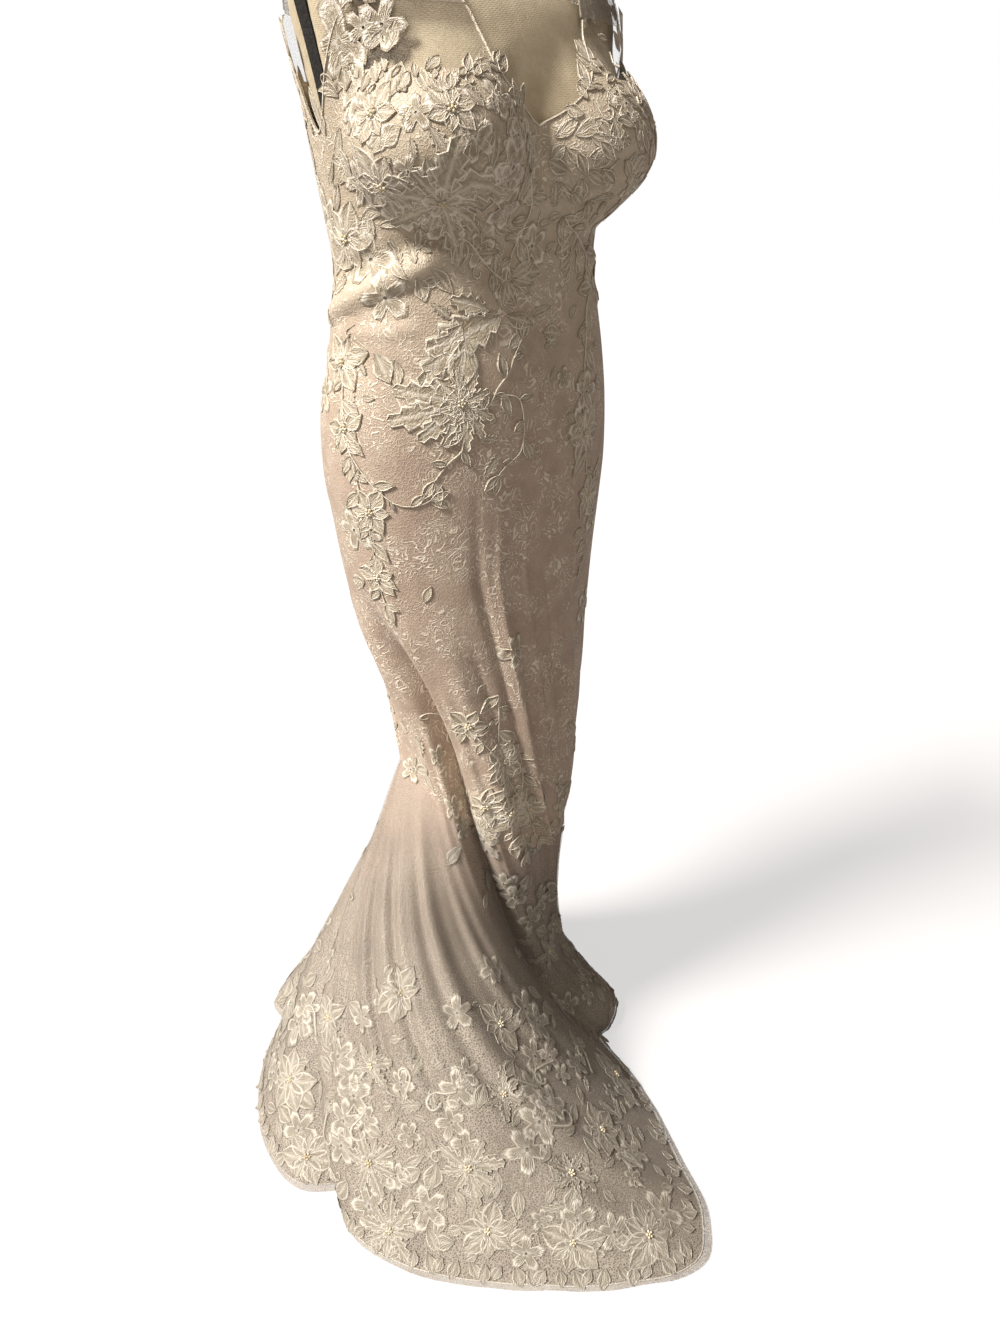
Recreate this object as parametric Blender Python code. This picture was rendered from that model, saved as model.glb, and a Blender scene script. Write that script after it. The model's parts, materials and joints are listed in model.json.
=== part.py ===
"""Mermaid wedding gown with a swept-round train, worn by a limbless dress form on a pole stand.

Units are metres. +Z is up, the form's axis is the Z axis, the gown's front faces -Y and the
wearer's left is +X. Angles run round the body from the front, positive towards the wearer's left.
"""

import math
from collections import namedtuple

import bpy
from mathutils import Vector

# Cloth and seams
CLOTH = 0.0018
SEAM_GAP = 0.0003
STRAP_GAP = 0.0008
LACE_RAISE = 0.003
LACE_EDGE = 0.008

# Heights of the main seams, and the rows of the cloth grid between them
UNDERBUST = 1.165
WAIST = 1.09
CUP_ROWS = 9
MIDRIFF_ROWS = 4
SKIRT_ROWS = 18
SKIRT_ROW_GROWTH = 1.25
FLOUNCE_ROWS = 10

# Bust cups, as domes on the chest
CUP_ANGLE = 42.0
CUP_HEIGHT = 1.243
CUP_DEPTH = 0.060
CUP_HALF_TURN = 40.0
CUP_ABOVE = 0.110
CUP_BELOW = 0.082

# The skirt turns round the body on its way down, because the train is swept to the front
TWIST_TOP = 0.80
TWIST_POWER = 1.18

# Dress form. Its bust is flatter than the gown's moulded cups.
FORM_EASE = 0.0070
SHOULDER_EASE = 0.0035
FORM_CUP_DEPTH = 0.048
FORM_BOTTOM = 0.835
FORM_CHEST = 1.345
FORM_NECK = 1.49
FORM_TOP = 1.545
FORM_BODY_ROWS = 14
FORM_SHOULDER_ROWS = 11
FORM_NECK_ROWS = 3
FORM_COLUMNS = 32
SIDE_GAP_HALF_TURN = 4.6
SIDE_GAP_DEPTH = 0.006
SIDE_GAP_LOW = 0.87
SIDE_GAP_HIGH = 1.40
INNER_SLEEVE_HALF_TURN = 3.4
INNER_SLEEVE_THICK = 0.003
INNER_SLEEVE_GAP = 0.0006
NECK_CAP_RADIUS = 0.066
NECK_CAP_THICK = 0.016
POLE_RADIUS = 0.0125
BASE_RADIUS = 0.135
BASE_THICK = 0.014
BASE_BEVEL = 0.003
ROUND_SIDES = 40

Section = namedtuple("Section", "height right left front back")
BODY = [
    Section(0.20, 0.112, 0.142, 0.110, 0.104),
    Section(0.30, 0.112, 0.142, 0.110, 0.102),
    Section(0.41, 0.108, 0.152, 0.110, 0.100),
    Section(0.49, 0.103, 0.160, 0.111, 0.100),
    Section(0.57, 0.110, 0.168, 0.113, 0.106),
    Section(0.65, 0.134, 0.172, 0.115, 0.116),
    Section(0.72, 0.156, 0.174, 0.117, 0.128),
    Section(0.79, 0.169, 0.180, 0.118, 0.140),
    Section(0.857, 0.178, 0.188, 0.120, 0.148),
    Section(0.91, 0.185, 0.193, 0.121, 0.152),
    Section(0.98, 0.184, 0.190, 0.121, 0.146),
    Section(1.04, 0.172, 0.181, 0.119, 0.130),
    Section(1.095, 0.164, 0.170, 0.114, 0.116),
    Section(1.14, 0.160, 0.160, 0.112, 0.110),
    Section(1.20, 0.168, 0.168, 0.116, 0.118),
    Section(1.25, 0.176, 0.178, 0.122, 0.122),
    Section(1.295, 0.184, 0.188, 0.123, 0.126),
    Section(1.34, 0.195, 0.196, 0.117, 0.126),
    Section(1.375, 0.199, 0.198, 0.102, 0.122),
    Section(1.405, 0.192, 0.188, 0.084, 0.106),
    Section(1.43, 0.165, 0.163, 0.068, 0.086),
    Section(1.45, 0.130, 0.130, 0.060, 0.074),
    Section(1.468, 0.094, 0.094, 0.056, 0.066),
    Section(1.485, 0.072, 0.072, 0.055, 0.061),
    Section(1.505, 0.064, 0.064, 0.056, 0.059),
    Section(1.57, 0.060, 0.060, 0.056, 0.058),
]

# The neckline, armhole and back edge, the same on both sides
EdgePoint = namedtuple("EdgePoint", "angle height")
SHOULDER_SEAM = 1.365
TOP_EDGE = [
    EdgePoint(0, 1.268),
    EdgePoint(12, 1.283),
    EdgePoint(24, 1.312),
    EdgePoint(30, 1.342),
    EdgePoint(36, SHOULDER_SEAM),
    EdgePoint(48, SHOULDER_SEAM),
    EdgePoint(60, SHOULDER_SEAM),
    EdgePoint(72, SHOULDER_SEAM),
    EdgePoint(80, 1.320),
    EdgePoint(90, 1.262),
    EdgePoint(100, 1.320),
    EdgePoint(108, SHOULDER_SEAM),
    EdgePoint(124, SHOULDER_SEAM),
    EdgePoint(144, SHOULDER_SEAM),
    EdgePoint(156, 1.310),
    EdgePoint(168, 1.245),
    EdgePoint(180, 1.205),
]

# Where each edge of a shoulder strap leaves the bodice, and how high it passes over the shoulder
StrapEdge = namedtuple("StrapEdge", "front_angle back_angle crest")
STRAP_NECK_EDGE = StrapEdge(36.0, 144.0, 1.470)
STRAP_ARM_EDGE = StrapEdge(70.0, 110.0, 1.436)
STRAP_ROWS = 16
STRAP_COLUMNS = 3

# The lengths of cloth from neckline to hem: where each begins and ends round the body, and
# how many columns of the outside one column of the plain inside covers
Gore = namedtuple("Gore", "name start end columns inner_step")
GORES = [
    Gore("back_right", -180.0, -90.0, 28, 1),
    Gore("side_right", -90.0, -54.0, 8, 1),
    Gore("front", -54.0, 54.0, 18, 2),
    Gore("side_left", 54.0, 90.0, 6, 2),
    Gore("back_left", 90.0, 180.0, 16, 1),
]

# Where the flounce starts and where its hem lies on the floor, round the garment.
# turn is how far the hem is swept round, reach its distance from the axis, and
# train is 1 where the cloth slopes out as a train and 0 where it drops and breaks on the floor.
Flare = namedtuple("Flare", "angle seam turn reach train")
FLARE = [
    Flare(-180, 0.470, 113.5, 0.366, 1.00),
    Flare(-176, 0.475, 115.0, 0.408, 1.00),
    Flare(-171, 0.480, 117.0, 0.430, 1.00),
    Flare(-164, 0.490, 120.0, 0.445, 1.00),
    Flare(-153, 0.495, 124.0, 0.462, 1.00),
    Flare(-142, 0.500, 126.0, 0.490, 1.00),
    Flare(-131, 0.490, 127.5, 0.515, 1.00),
    Flare(-125, 0.485, 127.5, 0.478, 1.00),
    Flare(-119, 0.480, 127.5, 0.398, 1.00),
    Flare(-111, 0.465, 127.0, 0.325, 1.00),
    Flare(-103, 0.450, 126.5, 0.270, 0.90),
    Flare(-96, 0.430, 126.0, 0.228, 0.70),
    Flare(-90, 0.420, 126.0, 0.204, 0.45),
    Flare(-82, 0.415, 124.0, 0.214, 0.15),
    Flare(-60, 0.390, 118.0, 0.228, 0.00),
    Flare(-20, 0.370, 103.0, 0.206, 0.00),
    Flare(20, 0.370, 96.0, 0.225, 0.00),
    Flare(60, 0.390, 96.0, 0.250, 0.15),
    Flare(90, 0.410, 98.0, 0.290, 0.45),
    Flare(110, 0.415, 101.0, 0.320, 0.75),
    Flare(126, 0.420, 103.5, 0.334, 0.95),
    Flare(132, 0.425, 104.5, 0.312, 1.00),
    Flare(141, 0.430, 106.0, 0.335, 1.00),
    Flare(152, 0.440, 108.0, 0.362, 1.00),
    Flare(164, 0.450, 110.0, 0.388, 1.00),
    Flare(174, 0.460, 112.0, 0.396, 1.00),
    Flare(180, 0.470, 113.5, 0.366, 1.00),
]

# How the flounce falls from its seam (0) to the hem (1), where it drops and where it trains
Fall = namedtuple("Fall", "share drop_height drop_reach train_height train_reach")
FALL = [
    Fall(0.00, 1.00, 0.00, 1.00, 0.00),
    Fall(0.20, 0.78, -0.02, 0.79, 0.13),
    Fall(0.40, 0.56, 0.02, 0.58, 0.32),
    Fall(0.60, 0.35, 0.20, 0.38, 0.54),
    Fall(0.75, 0.21, 0.55, 0.22, 0.72),
    Fall(0.90, 0.07, 0.94, 0.08, 0.89),
    Fall(1.00, 0.00, 1.00, 0.00, 1.00),
]

# Soft ridges (raise above 0) and troughs, each along a straight run on the garment
Fold = namedtuple("Fold", "angle top bottom half_turn swell")
FOLDS = [
    Fold(-90, 0.80, 0.40, 12, -0.032),
    Fold(-24, 0.85, 0.38, 9, 0.007),
    Fold(-58, 0.78, 0.40, 13, 0.006),
    Fold(14, 0.76, 0.40, 13, -0.006),
    Fold(64, 0.74, 0.40, 15, -0.006),
    Fold(128, 0.74, 0.44, 15, 0.007),
]

# The one soft roll across the right side of the bodice, under the bust
ROLL_START = -104.0
ROLL_END = -34.0
ROLL_START_HEIGHT = 1.125
ROLL_END_HEIGHT = 1.150
ROLL_HALF_HEIGHT = 0.018
ROLL_SWELL = 0.006

# Folds that fan out over the train, as a wave across the columns
FAN_WAVE = 0.0065
FAN_START = -178.0
FAN_END = -104.0
FAN_COUNT = 7

# Lace flowers and leaf sprays, raised in the cloth.
# height is in metres on the body, and the share of the way from seam to hem on the flounce.
Motif = namedtuple("Motif", "angle height radius petals turn")
BODY_LACE = [
    Motif(-50, 1.335, 0.040, 5, 0),
    Motif(-66, 1.290, 0.040, 6, 30),
    Motif(-30, 1.275, 0.038, 5, 12),
    Motif(-68, 1.215, 0.042, 6, 40),
    Motif(-38, 1.180, 0.036, 5, 0),
    Motif(48, 1.330, 0.040, 5, 20),
    Motif(64, 1.285, 0.042, 6, 10),
    Motif(28, 1.270, 0.036, 5, 32),
    Motif(66, 1.210, 0.042, 6, 0),
    Motif(36, 1.180, 0.036, 5, 16),
    Motif(0, 1.215, 0.034, 6, 0),
    Motif(-8, 1.130, 0.034, 4, 45),
    Motif(30, 1.100, 0.036, 6, 10),
    Motif(-49, 1.083, 0.046, 7, 20),
    Motif(-48, 1.003, 0.070, 8, 10),
    Motif(-48, 0.916, 0.036, 5, 0),
    Motif(-76, 1.050, 0.036, 5, 30),
    Motif(-96, 0.980, 0.045, 6, 30),
    Motif(-100, 0.880, 0.050, 6, 12),
    Motif(2, 0.960, 0.044, 4, 45),
    Motif(10, 0.880, 0.036, 4, 30),
    Motif(40, 1.020, 0.046, 7, 0),
    Motif(62, 0.930, 0.050, 6, 12),
    Motif(84, 0.860, 0.044, 6, 0),
    Motif(-45, 0.610, 0.040, 6, 30),
    Motif(-52, 0.490, 0.055, 8, 0),
    Motif(-104, 1.200, 0.040, 6, 10),
    Motif(104, 1.200, 0.040, 6, 24),
    Motif(-126, 1.310, 0.040, 6, 24),
    Motif(126, 1.310, 0.040, 6, 0),
    Motif(-150, 1.130, 0.045, 6, 24),
    Motif(150, 1.130, 0.045, 6, 24),
    Motif(-142, 0.980, 0.055, 8, 0),
    Motif(142, 0.980, 0.055, 8, 20),
]
FLOUNCE_LACE = [
    Motif(-168, 0.80, 0.055, 6, 0),
    Motif(-152, 0.72, 0.060, 7, 20),
    Motif(-136, 0.84, 0.060, 6, 40),
    Motif(-140, 0.60, 0.045, 6, 10),
    Motif(-122, 0.66, 0.045, 5, 30),
    Motif(170, 0.70, 0.055, 6, 15),
    Motif(148, 0.80, 0.055, 7, 0),
    Motif(120, 0.72, 0.050, 6, 24),
    Motif(-55, 0.50, 0.050, 6, 10),
    Motif(-20, 0.45, 0.045, 6, 0),
    Motif(30, 0.55, 0.050, 7, 10),
]

CREAM_LINEN = ("cream_linen", (0.62, 0.54, 0.41, 1.0), 0.9, 0.0)
BLACK_KNIT = ("black_knit", (0.02, 0.019, 0.017, 1.0), 0.85, 0.0)
BLUSH_LACE = ("blush_lace", (0.60, 0.45, 0.34, 1.0), 0.7, 0.0)
SHEER_TULLE = ("sheer_tulle", (0.55, 0.49, 0.40, 1.0), 0.7, 0.0)
SATIN_METAL = ("satin_metal", (0.45, 0.44, 0.42, 1.0), 0.35, 1.0)
DARK_WOOD = ("dark_wood", (0.09, 0.05, 0.03, 1.0), 0.5, 0.0)


def clear_scene():
    for thing in list(bpy.data.objects):
        bpy.data.objects.remove(thing)


def read_table(rows, column, at):
    """A column of a table at any place between its rows, on a smooth curve through them."""
    at = min(max(at, rows[0][0]), rows[-1][0])
    after = next(i for i in range(1, len(rows)) if at <= rows[i][0])
    low, high = rows[after - 1], rows[after]
    span = high[0] - low[0]
    share = (at - low[0]) / span
    y0, y1 = getattr(low, column), getattr(high, column)

    def slope(row):
        before, behind = rows[max(row - 1, 0)], rows[min(row + 1, len(rows) - 1)]
        return (getattr(behind, column) - getattr(before, column)) / (behind[0] - before[0])

    m0, m1 = slope(after - 1) * span, slope(after) * span
    s2, s3 = share * share, share ** 3
    return y0 * (2 * s3 - 3 * s2 + 1) + m0 * (s3 - 2 * s2 + share) + y1 * (3 * s2 - 2 * s3) + m1 * (s3 - s2)


def smooth_step(x):
    x = min(max(x, 0.0), 1.0)
    return x * x * (3 - 2 * x)


def turn_between(a, b):
    """The signed angle from b to a, in degrees, by the short way round."""
    return (a - b + 180.0) % 360.0 - 180.0


def around(angle, radius, height):
    """A point at that angle from the front, in degrees, and that distance from the axis."""
    turned = math.radians(angle)
    return Vector((radius * math.sin(turned), -radius * math.cos(turned), height))


# Shape of the body under the gown

def body_radius(angle, height, cup_depth=CUP_DEPTH):
    """Distance from the axis to the gown's cloth on the body, before any folds."""
    turned = math.radians(angle)
    across, along = math.sin(turned), math.cos(turned)
    half_width = read_table(BODY, "left" if across > 0 else "right", height)
    depth = read_table(BODY, "front" if along > 0 else "back", height)
    radius = 1.0 / math.hypot(across / half_width, along / depth)
    for side in (-1, 1):
        turn = turn_between(angle, side * CUP_ANGLE) / CUP_HALF_TURN
        rise = (height - CUP_HEIGHT) / (CUP_ABOVE if height > CUP_HEIGHT else CUP_BELOW)
        inside = 1.0 - turn * turn - rise * rise
        if inside > 0:
            radius += cup_depth * inside ** 1.5
    return radius


def top_edge(angle):
    return min(read_table(TOP_EDGE, "height", abs(turn_between(angle, 0.0))), SHOULDER_SEAM)


# Shape of the skirt

def swept_angle(garment_angle, height):
    """Where that line of the garment lies round the body, at that height."""
    share = max(0.0, (TWIST_TOP - height) / TWIST_TOP) ** TWIST_POWER
    return garment_angle + read_table(FLARE, "turn", garment_angle) * share


def fold_offset(garment_angle, height):
    total = 0.0
    for fold in FOLDS:
        beside = abs(turn_between(garment_angle, fold.angle)) / fold.half_turn
        down = (fold.top - height) / (fold.top - fold.bottom)
        if beside < 1.0 and down > 0.0:
            total += fold.swell * smooth_step(down * 2.5) * (1 - beside ** 1.4) ** 1.5
    along = (garment_angle - ROLL_START) / (ROLL_END - ROLL_START)
    middle = ROLL_START_HEIGHT + (ROLL_END_HEIGHT - ROLL_START_HEIGHT) * along
    beside = abs(height - middle) / ROLL_HALF_HEIGHT
    if 0.0 < along < 1.0 and beside < 1.0:
        total += ROLL_SWELL * smooth_step(along * 4) * smooth_step((1 - along) * 4) * (1 - beside ** 2) ** 1.5
    return total


def skirt_point(garment_angle, height):
    angle = swept_angle(garment_angle, height)
    return around(angle, body_radius(angle, height) + fold_offset(garment_angle, height), height)


def fan_wave(garment_angle, share):
    """The fan of folds over the train: nothing at the flounce's seam, and softer again at the hem."""
    if not FAN_START < garment_angle < FAN_END:
        return 0.0
    along = (garment_angle - FAN_START) / (FAN_END - FAN_START)
    ends = smooth_step(along * 5) * smooth_step((1 - along) * 5)
    deepens = ends * smooth_step(share * 2.2) * (1.2 - share)
    return FAN_WAVE * deepens * math.sin(2 * math.pi * FAN_COUNT * along)


def flounce_point(garment_angle, share):
    seam = read_table(FLARE, "seam", garment_angle)
    train = read_table(FLARE, "train", garment_angle)
    reach = read_table(FLARE, "reach", garment_angle)
    start = skirt_point(garment_angle, seam)
    start_radius = math.hypot(start.x, start.y)
    fall = {name: read_table(FALL, name, share) for name in Fall._fields[1:]}
    drop = fall["drop_height"] * (1 - train) + fall["train_height"] * train
    out = fall["drop_reach"] * (1 - train) + fall["train_reach"] * train
    wave = fan_wave(garment_angle, share)
    height = seam * drop + max(wave, -0.3 * seam * drop)
    radius = start_radius + (reach - start_radius) * out + wave
    return around(swept_angle(garment_angle, seam * drop), radius, max(height, 0.0))


# The grid of cloth that every panel is cut from

def garment_angles():
    angles = []
    for gore in GORES:
        step = (gore.end - gore.start) / gore.columns
        angles += [gore.start + step * k for k in range(gore.columns)]
    return angles


def cloth_grid(angles):
    """The gown's surface as rows from the neckline to the hem, closed round the body."""
    rows = []
    for k in range(CUP_ROWS + 1):
        share = k / CUP_ROWS
        heights = [top_edge(a) + (UNDERBUST - top_edge(a)) * share for a in angles]
        rows.append([skirt_point(a, h) for a, h in zip(angles, heights)])
    for k in range(1, MIDRIFF_ROWS + 1):
        height = UNDERBUST + (WAIST - UNDERBUST) * k / MIDRIFF_ROWS
        rows.append([skirt_point(a, height) for a in angles])
    for k in range(1, SKIRT_ROWS + 1):
        share = (k / SKIRT_ROWS) ** SKIRT_ROW_GROWTH
        heights = [WAIST + (read_table(FLARE, "seam", a) - WAIST) * share for a in angles]
        rows.append([skirt_point(a, h) for a, h in zip(angles, heights)])
    for k in range(1, FLOUNCE_ROWS + 1):
        rows.append([flounce_point(a, k / FLOUNCE_ROWS) for a in angles])
    return rows


def grid_normals(rows):
    count = len(rows[0])
    normals = []
    for i, row in enumerate(rows):
        above, below = rows[max(i - 1, 0)], rows[min(i + 1, len(rows) - 1)]
        line = []
        for j in range(count):
            across = row[(j + 1) % count] - row[j - 1]
            down = below[j] - above[j]
            line.append(down.cross(across).normalized())
        normals.append(line)
    return normals


def motif_raise(point, centre, across, down, motif):
    """How far a lace motif lifts the cloth at a point near it: petals round a middle."""
    away = point - centre
    if away.length > motif.radius * 1.3:
        return 0.0
    x, y = away.dot(across), away.dot(down)
    bearing = math.atan2(y, x) + math.radians(motif.turn)
    outline = motif.radius * (0.72 + 0.28 * math.cos(motif.petals * bearing))
    return LACE_RAISE * smooth_step((outline - math.hypot(x, y)) / LACE_EDGE + 0.5)


def lace_relief(rows):
    """The raise of the lace at each point of the grid."""
    relief = [[0.0] * len(rows[0]) for _ in rows]
    placed = [(motif, skirt_point, 0.01) for motif in BODY_LACE]
    placed += [(motif, flounce_point, -0.03) for motif in FLOUNCE_LACE]
    for motif, place, step in placed:
        centre = place(motif.angle, motif.height)
        across = (place(motif.angle + 2, motif.height) - centre).normalized()
        down = (place(motif.angle, motif.height - step) - centre).normalized()
        for i, row in enumerate(rows):
            for j, point in enumerate(row):
                relief[i][j] = max(relief[i][j], motif_raise(point, centre, across, down, motif))
    return relief


def wall_surfaces(rows, normals, relief):
    """The outer face, with its lace, and the plain inner face. Both rest on the floor at the hem."""
    outer, inner = [], []
    for row, row_normals, row_relief in zip(rows, normals, relief):
        outer_row, inner_row = [], []
        for point, normal, lace in zip(row, row_normals, row_relief):
            lifted = point.copy()
            lifted.z = max(lifted.z, CLOTH * max(normal.z, 0.0))
            outer_row.append(lifted + normal * lace)
            inside = lifted - normal * CLOTH
            inside.z = max(inside.z, 0.0)
            inner_row.append(inside)
        outer.append(outer_row)
        inner.append(inner_row)
    for j in range(len(rows[0])):
        inner[-1][j].z = 0.0
    return outer, inner


def cut_panel(surface, row_picks, column_picks, open_sides, gap):
    """The panel's own points, with each sewn edge drawn back by half the seam's gap."""
    count = len(surface[0])
    points = [[surface[i][j % count].copy() for j in column_picks] for i in row_picks]
    trimmed = [[point.copy() for point in row] for row in points]
    last_row, last_column = len(points) - 1, len(points[0]) - 1
    for i in range(last_row + 1):
        for j, inward, side in ((0, 1, "start"), (last_column, -1, "end")):
            if side not in open_sides:
                trimmed[i][j] += (points[i][j + inward] - points[i][j]).normalized() * gap / 2
    for j in range(last_column + 1):
        for i, inward, side in ((0, 1, "top"), (last_row, -1, "bottom")):
            if side not in open_sides:
                trimmed[i][j] += (points[i + inward][j] - points[i][j]).normalized() * gap / 2
    return trimmed


def material_of(name, colour, roughness, metallic):
    material = bpy.data.materials.get(name)
    if material is None:
        material = bpy.data.materials.new(name)
        material.use_nodes = True
        shader = material.node_tree.nodes["Principled BSDF"]
        shader.inputs["Base Color"].default_value = colour
        shader.inputs["Roughness"].default_value = roughness
        shader.inputs["Metallic"].default_value = metallic
    return material


def add_mesh(name, points, faces, finish, smooth=True):
    mesh = bpy.data.meshes.new(name)
    mesh.from_pydata([tuple(p) for p in points], [], faces)
    mesh.materials.append(material_of(*finish))
    if smooth:
        mesh.shade_smooth()
        mesh.set_sharp_from_angle(angle=math.radians(40))
    thing = bpy.data.objects.new(name, mesh)
    bpy.context.scene.collection.objects.link(thing)
    return thing


def sheet_faces(first, rows, columns, outwards):
    faces = []
    for i in range(rows - 1):
        for j in range(columns - 1):
            a = first + i * columns + j
            quad = (a, a + columns, a + columns + 1, a + 1)
            faces.append(quad if outwards else (quad[0], quad[3], quad[2], quad[1]))
    return faces


def close_wall(name, outer, inner, finish):
    """One closed solid from an outer sheet and an inner sheet that may skip columns."""
    rows, columns, inner_columns = len(outer), len(outer[0]), len(inner[0])
    step = (columns - 1) // (inner_columns - 1)
    base = rows * columns
    points = [p for row in outer for p in row] + [p for row in inner for p in row]
    faces = sheet_faces(0, rows, columns, True) + sheet_faces(base, rows, inner_columns, False)

    def close_edge(outer_run, inner_run, stride, turned):
        """Triangles whose diagonals lie the same way on both sides of a seam, so that the gap is even."""
        for k in range(len(inner_run) - 1):
            span = outer_run[k * stride:(k + 1) * stride + 1]
            fan = [(span[m], span[m + 1], inner_run[k + 1]) for m in range(stride)]
            fan.append((span[0], inner_run[k + 1], inner_run[k]))
            faces.extend(tuple(reversed(face)) if turned else face for face in fan)

    for i, turned in ((0, False), (rows - 1, True)):
        outer_run = [i * columns + j for j in range(columns)]
        close_edge(outer_run, [base + i * inner_columns + j for j in range(inner_columns)], step, turned)
    for j, inner_j, turned in ((0, 0, True), (columns - 1, inner_columns - 1, False)):
        outer_run = [i * columns + j for i in range(rows)]
        close_edge(outer_run, [base + i * inner_columns + inner_j for i in range(rows)], 1, turned)
    return add_mesh(name, points, faces, finish)


def sew_panel(name, faces, row_range, column_range, finish, open_sides=(), inner_step=1):
    """Cuts one piece of the gown out of the cloth grid and gives it its wall."""
    outer, inner = faces
    row_picks = list(range(row_range[0], row_range[1] + 1))
    column_picks = list(range(column_range[0], column_range[1] + 1))
    outside = cut_panel(outer, row_picks, column_picks, open_sides, SEAM_GAP)
    inside = cut_panel(inner, row_picks, column_picks[::inner_step], open_sides, SEAM_GAP)
    return close_wall(name, outside, inside, finish)


def gore_columns():
    """The first and last column of each gore in the grid."""
    found, start = {}, 0
    for gore in GORES:
        found[gore.name] = (start, start + gore.columns)
        start += gore.columns
    return found


def make_gown(faces):
    span = gore_columns()
    waist_row = CUP_ROWS + MIDRIFF_ROWS
    flounce_row = waist_row + SKIRT_ROWS
    hem_row = flounce_row + FLOUNCE_ROWS
    front_start, front_end = span["front"]
    middle = (front_start + front_end) // 2
    sew_panel("cup_right", faces, (0, CUP_ROWS), (front_start, middle), BLUSH_LACE, ("top",))
    sew_panel("cup_left", faces, (0, CUP_ROWS), (middle, front_end), BLUSH_LACE, ("top",))
    sew_panel("midriff", faces, (CUP_ROWS, waist_row), (front_start, front_end), BLUSH_LACE)
    for gore in GORES:
        columns, step = span[gore.name], gore.inner_step
        if gore.name != "front":
            sew_panel("bodice_" + gore.name, faces, (0, waist_row), columns, BLUSH_LACE, ("top",))
        sew_panel("skirt_" + gore.name, faces, (waist_row, flounce_row), columns, BLUSH_LACE, (), step)
        sew_panel("flounce_" + gore.name, faces, (flounce_row, hem_row), columns, SHEER_TULLE, ("bottom",), step)


# Dress form

def form_point(angle, height, inset):
    """A point on the form: the gown's surface moved straight inwards, with a flatter bust."""
    def on_body(a, h):
        return around(a, body_radius(a, h, FORM_CUP_DEPTH), h)

    across = on_body(angle + 1, height) - on_body(angle - 1, height)
    up = on_body(angle, height + 0.004) - on_body(angle, height - 0.004)
    ease = FORM_EASE + (SHOULDER_EASE - FORM_EASE) * smooth_step((height - FORM_CHEST) / 0.03)
    return on_body(angle, height) - across.cross(up).normalized() * (CLOTH + ease + inset)


def in_side_gap(angle, height):
    beside = min(abs(turn_between(angle, 90.0)), abs(turn_between(angle, -90.0)))
    return beside < SIDE_GAP_HALF_TURN and SIDE_GAP_LOW < height < SIDE_GAP_HIGH


def form_angles():
    """Even steps round the form, with a pair of close ones at each edge of the side gaps."""
    step = 360.0 / FORM_COLUMNS
    angles = [k * step - 180.0 for k in range(FORM_COLUMNS)]
    angles = [a for a in angles if abs(abs(a) - 90.0) > SIDE_GAP_HALF_TURN + 1.0]
    for side in (-90.0, 90.0):
        for edge in (-SIDE_GAP_HALF_TURN, SIDE_GAP_HALF_TURN):
            angles += [side + edge - 0.4, side + edge + 0.4]
    return sorted(angles)


def even_steps(start, end, count):
    return [start + (end - start) * k / count for k in range(count)]


def form_heights():
    heights = even_steps(FORM_BOTTOM, FORM_CHEST, FORM_BODY_ROWS)
    heights += even_steps(FORM_CHEST, FORM_NECK, FORM_SHOULDER_ROWS)
    heights += even_steps(FORM_NECK, FORM_TOP, FORM_NECK_ROWS) + [FORM_TOP]
    edges = [SIDE_GAP_LOW - 0.001, SIDE_GAP_LOW + 0.001, SIDE_GAP_HIGH - 0.001, SIDE_GAP_HIGH + 0.001]
    return sorted([h for h in heights if min(abs(h - e) for e in edges) > 0.004] + edges)


def make_form():
    angles, heights = form_angles(), form_heights()
    points = []
    for height in heights:
        for angle in angles:
            points.append(form_point(angle, height, SIDE_GAP_DEPTH if in_side_gap(angle, height) else 0.0))
    for ring, height in ((points[:len(angles)], FORM_BOTTOM), (points[-len(angles):], FORM_TOP)):
        for point in ring:
            point.z = height
    add_tube("form_torso", points, len(angles), CREAM_LINEN)


def make_inner_sleeve(name, side):
    """The black knit that shows in the gap between the form's front and back shells."""
    angles = [side * 90.0 + turn for turn in (-INNER_SLEEVE_HALF_TURN, 0.0, INNER_SLEEVE_HALF_TURN)]
    heights = [h for h in form_heights() if SIDE_GAP_LOW + 0.002 < h < SIDE_GAP_HIGH - 0.002]
    outer, inner = [], []
    for height in reversed(heights):
        outer.append([form_point(a, height, SIDE_GAP_DEPTH - INNER_SLEEVE_THICK) for a in angles])
        inner.append([form_point(a, height, SIDE_GAP_DEPTH - INNER_SLEEVE_GAP) for a in angles])
    close_wall(name, outer, inner, BLACK_KNIT)


def add_tube(name, points, around_count, finish):
    """Rings of points from the bottom up, with the first and last closed flat."""
    faces = []
    ring_count = len(points) // around_count
    for i in range(ring_count - 1):
        for j in range(around_count):
            a, b = i * around_count + j, i * around_count + (j + 1) % around_count
            faces.append((a, b, b + around_count, a + around_count))
    top = (ring_count - 1) * around_count
    faces.append(tuple(reversed(range(around_count))))
    faces.append(tuple(range(top, top + around_count)))
    return add_mesh(name, points, faces, finish)


def make_turned(name, profile, finish, sides=ROUND_SIDES):
    """A round piece from its outline, given as (radius, height) from the bottom up."""
    points = [around(360.0 * k / sides, radius, height) for radius, height in profile for k in range(sides)]
    return add_tube(name, points, sides, finish)


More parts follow.
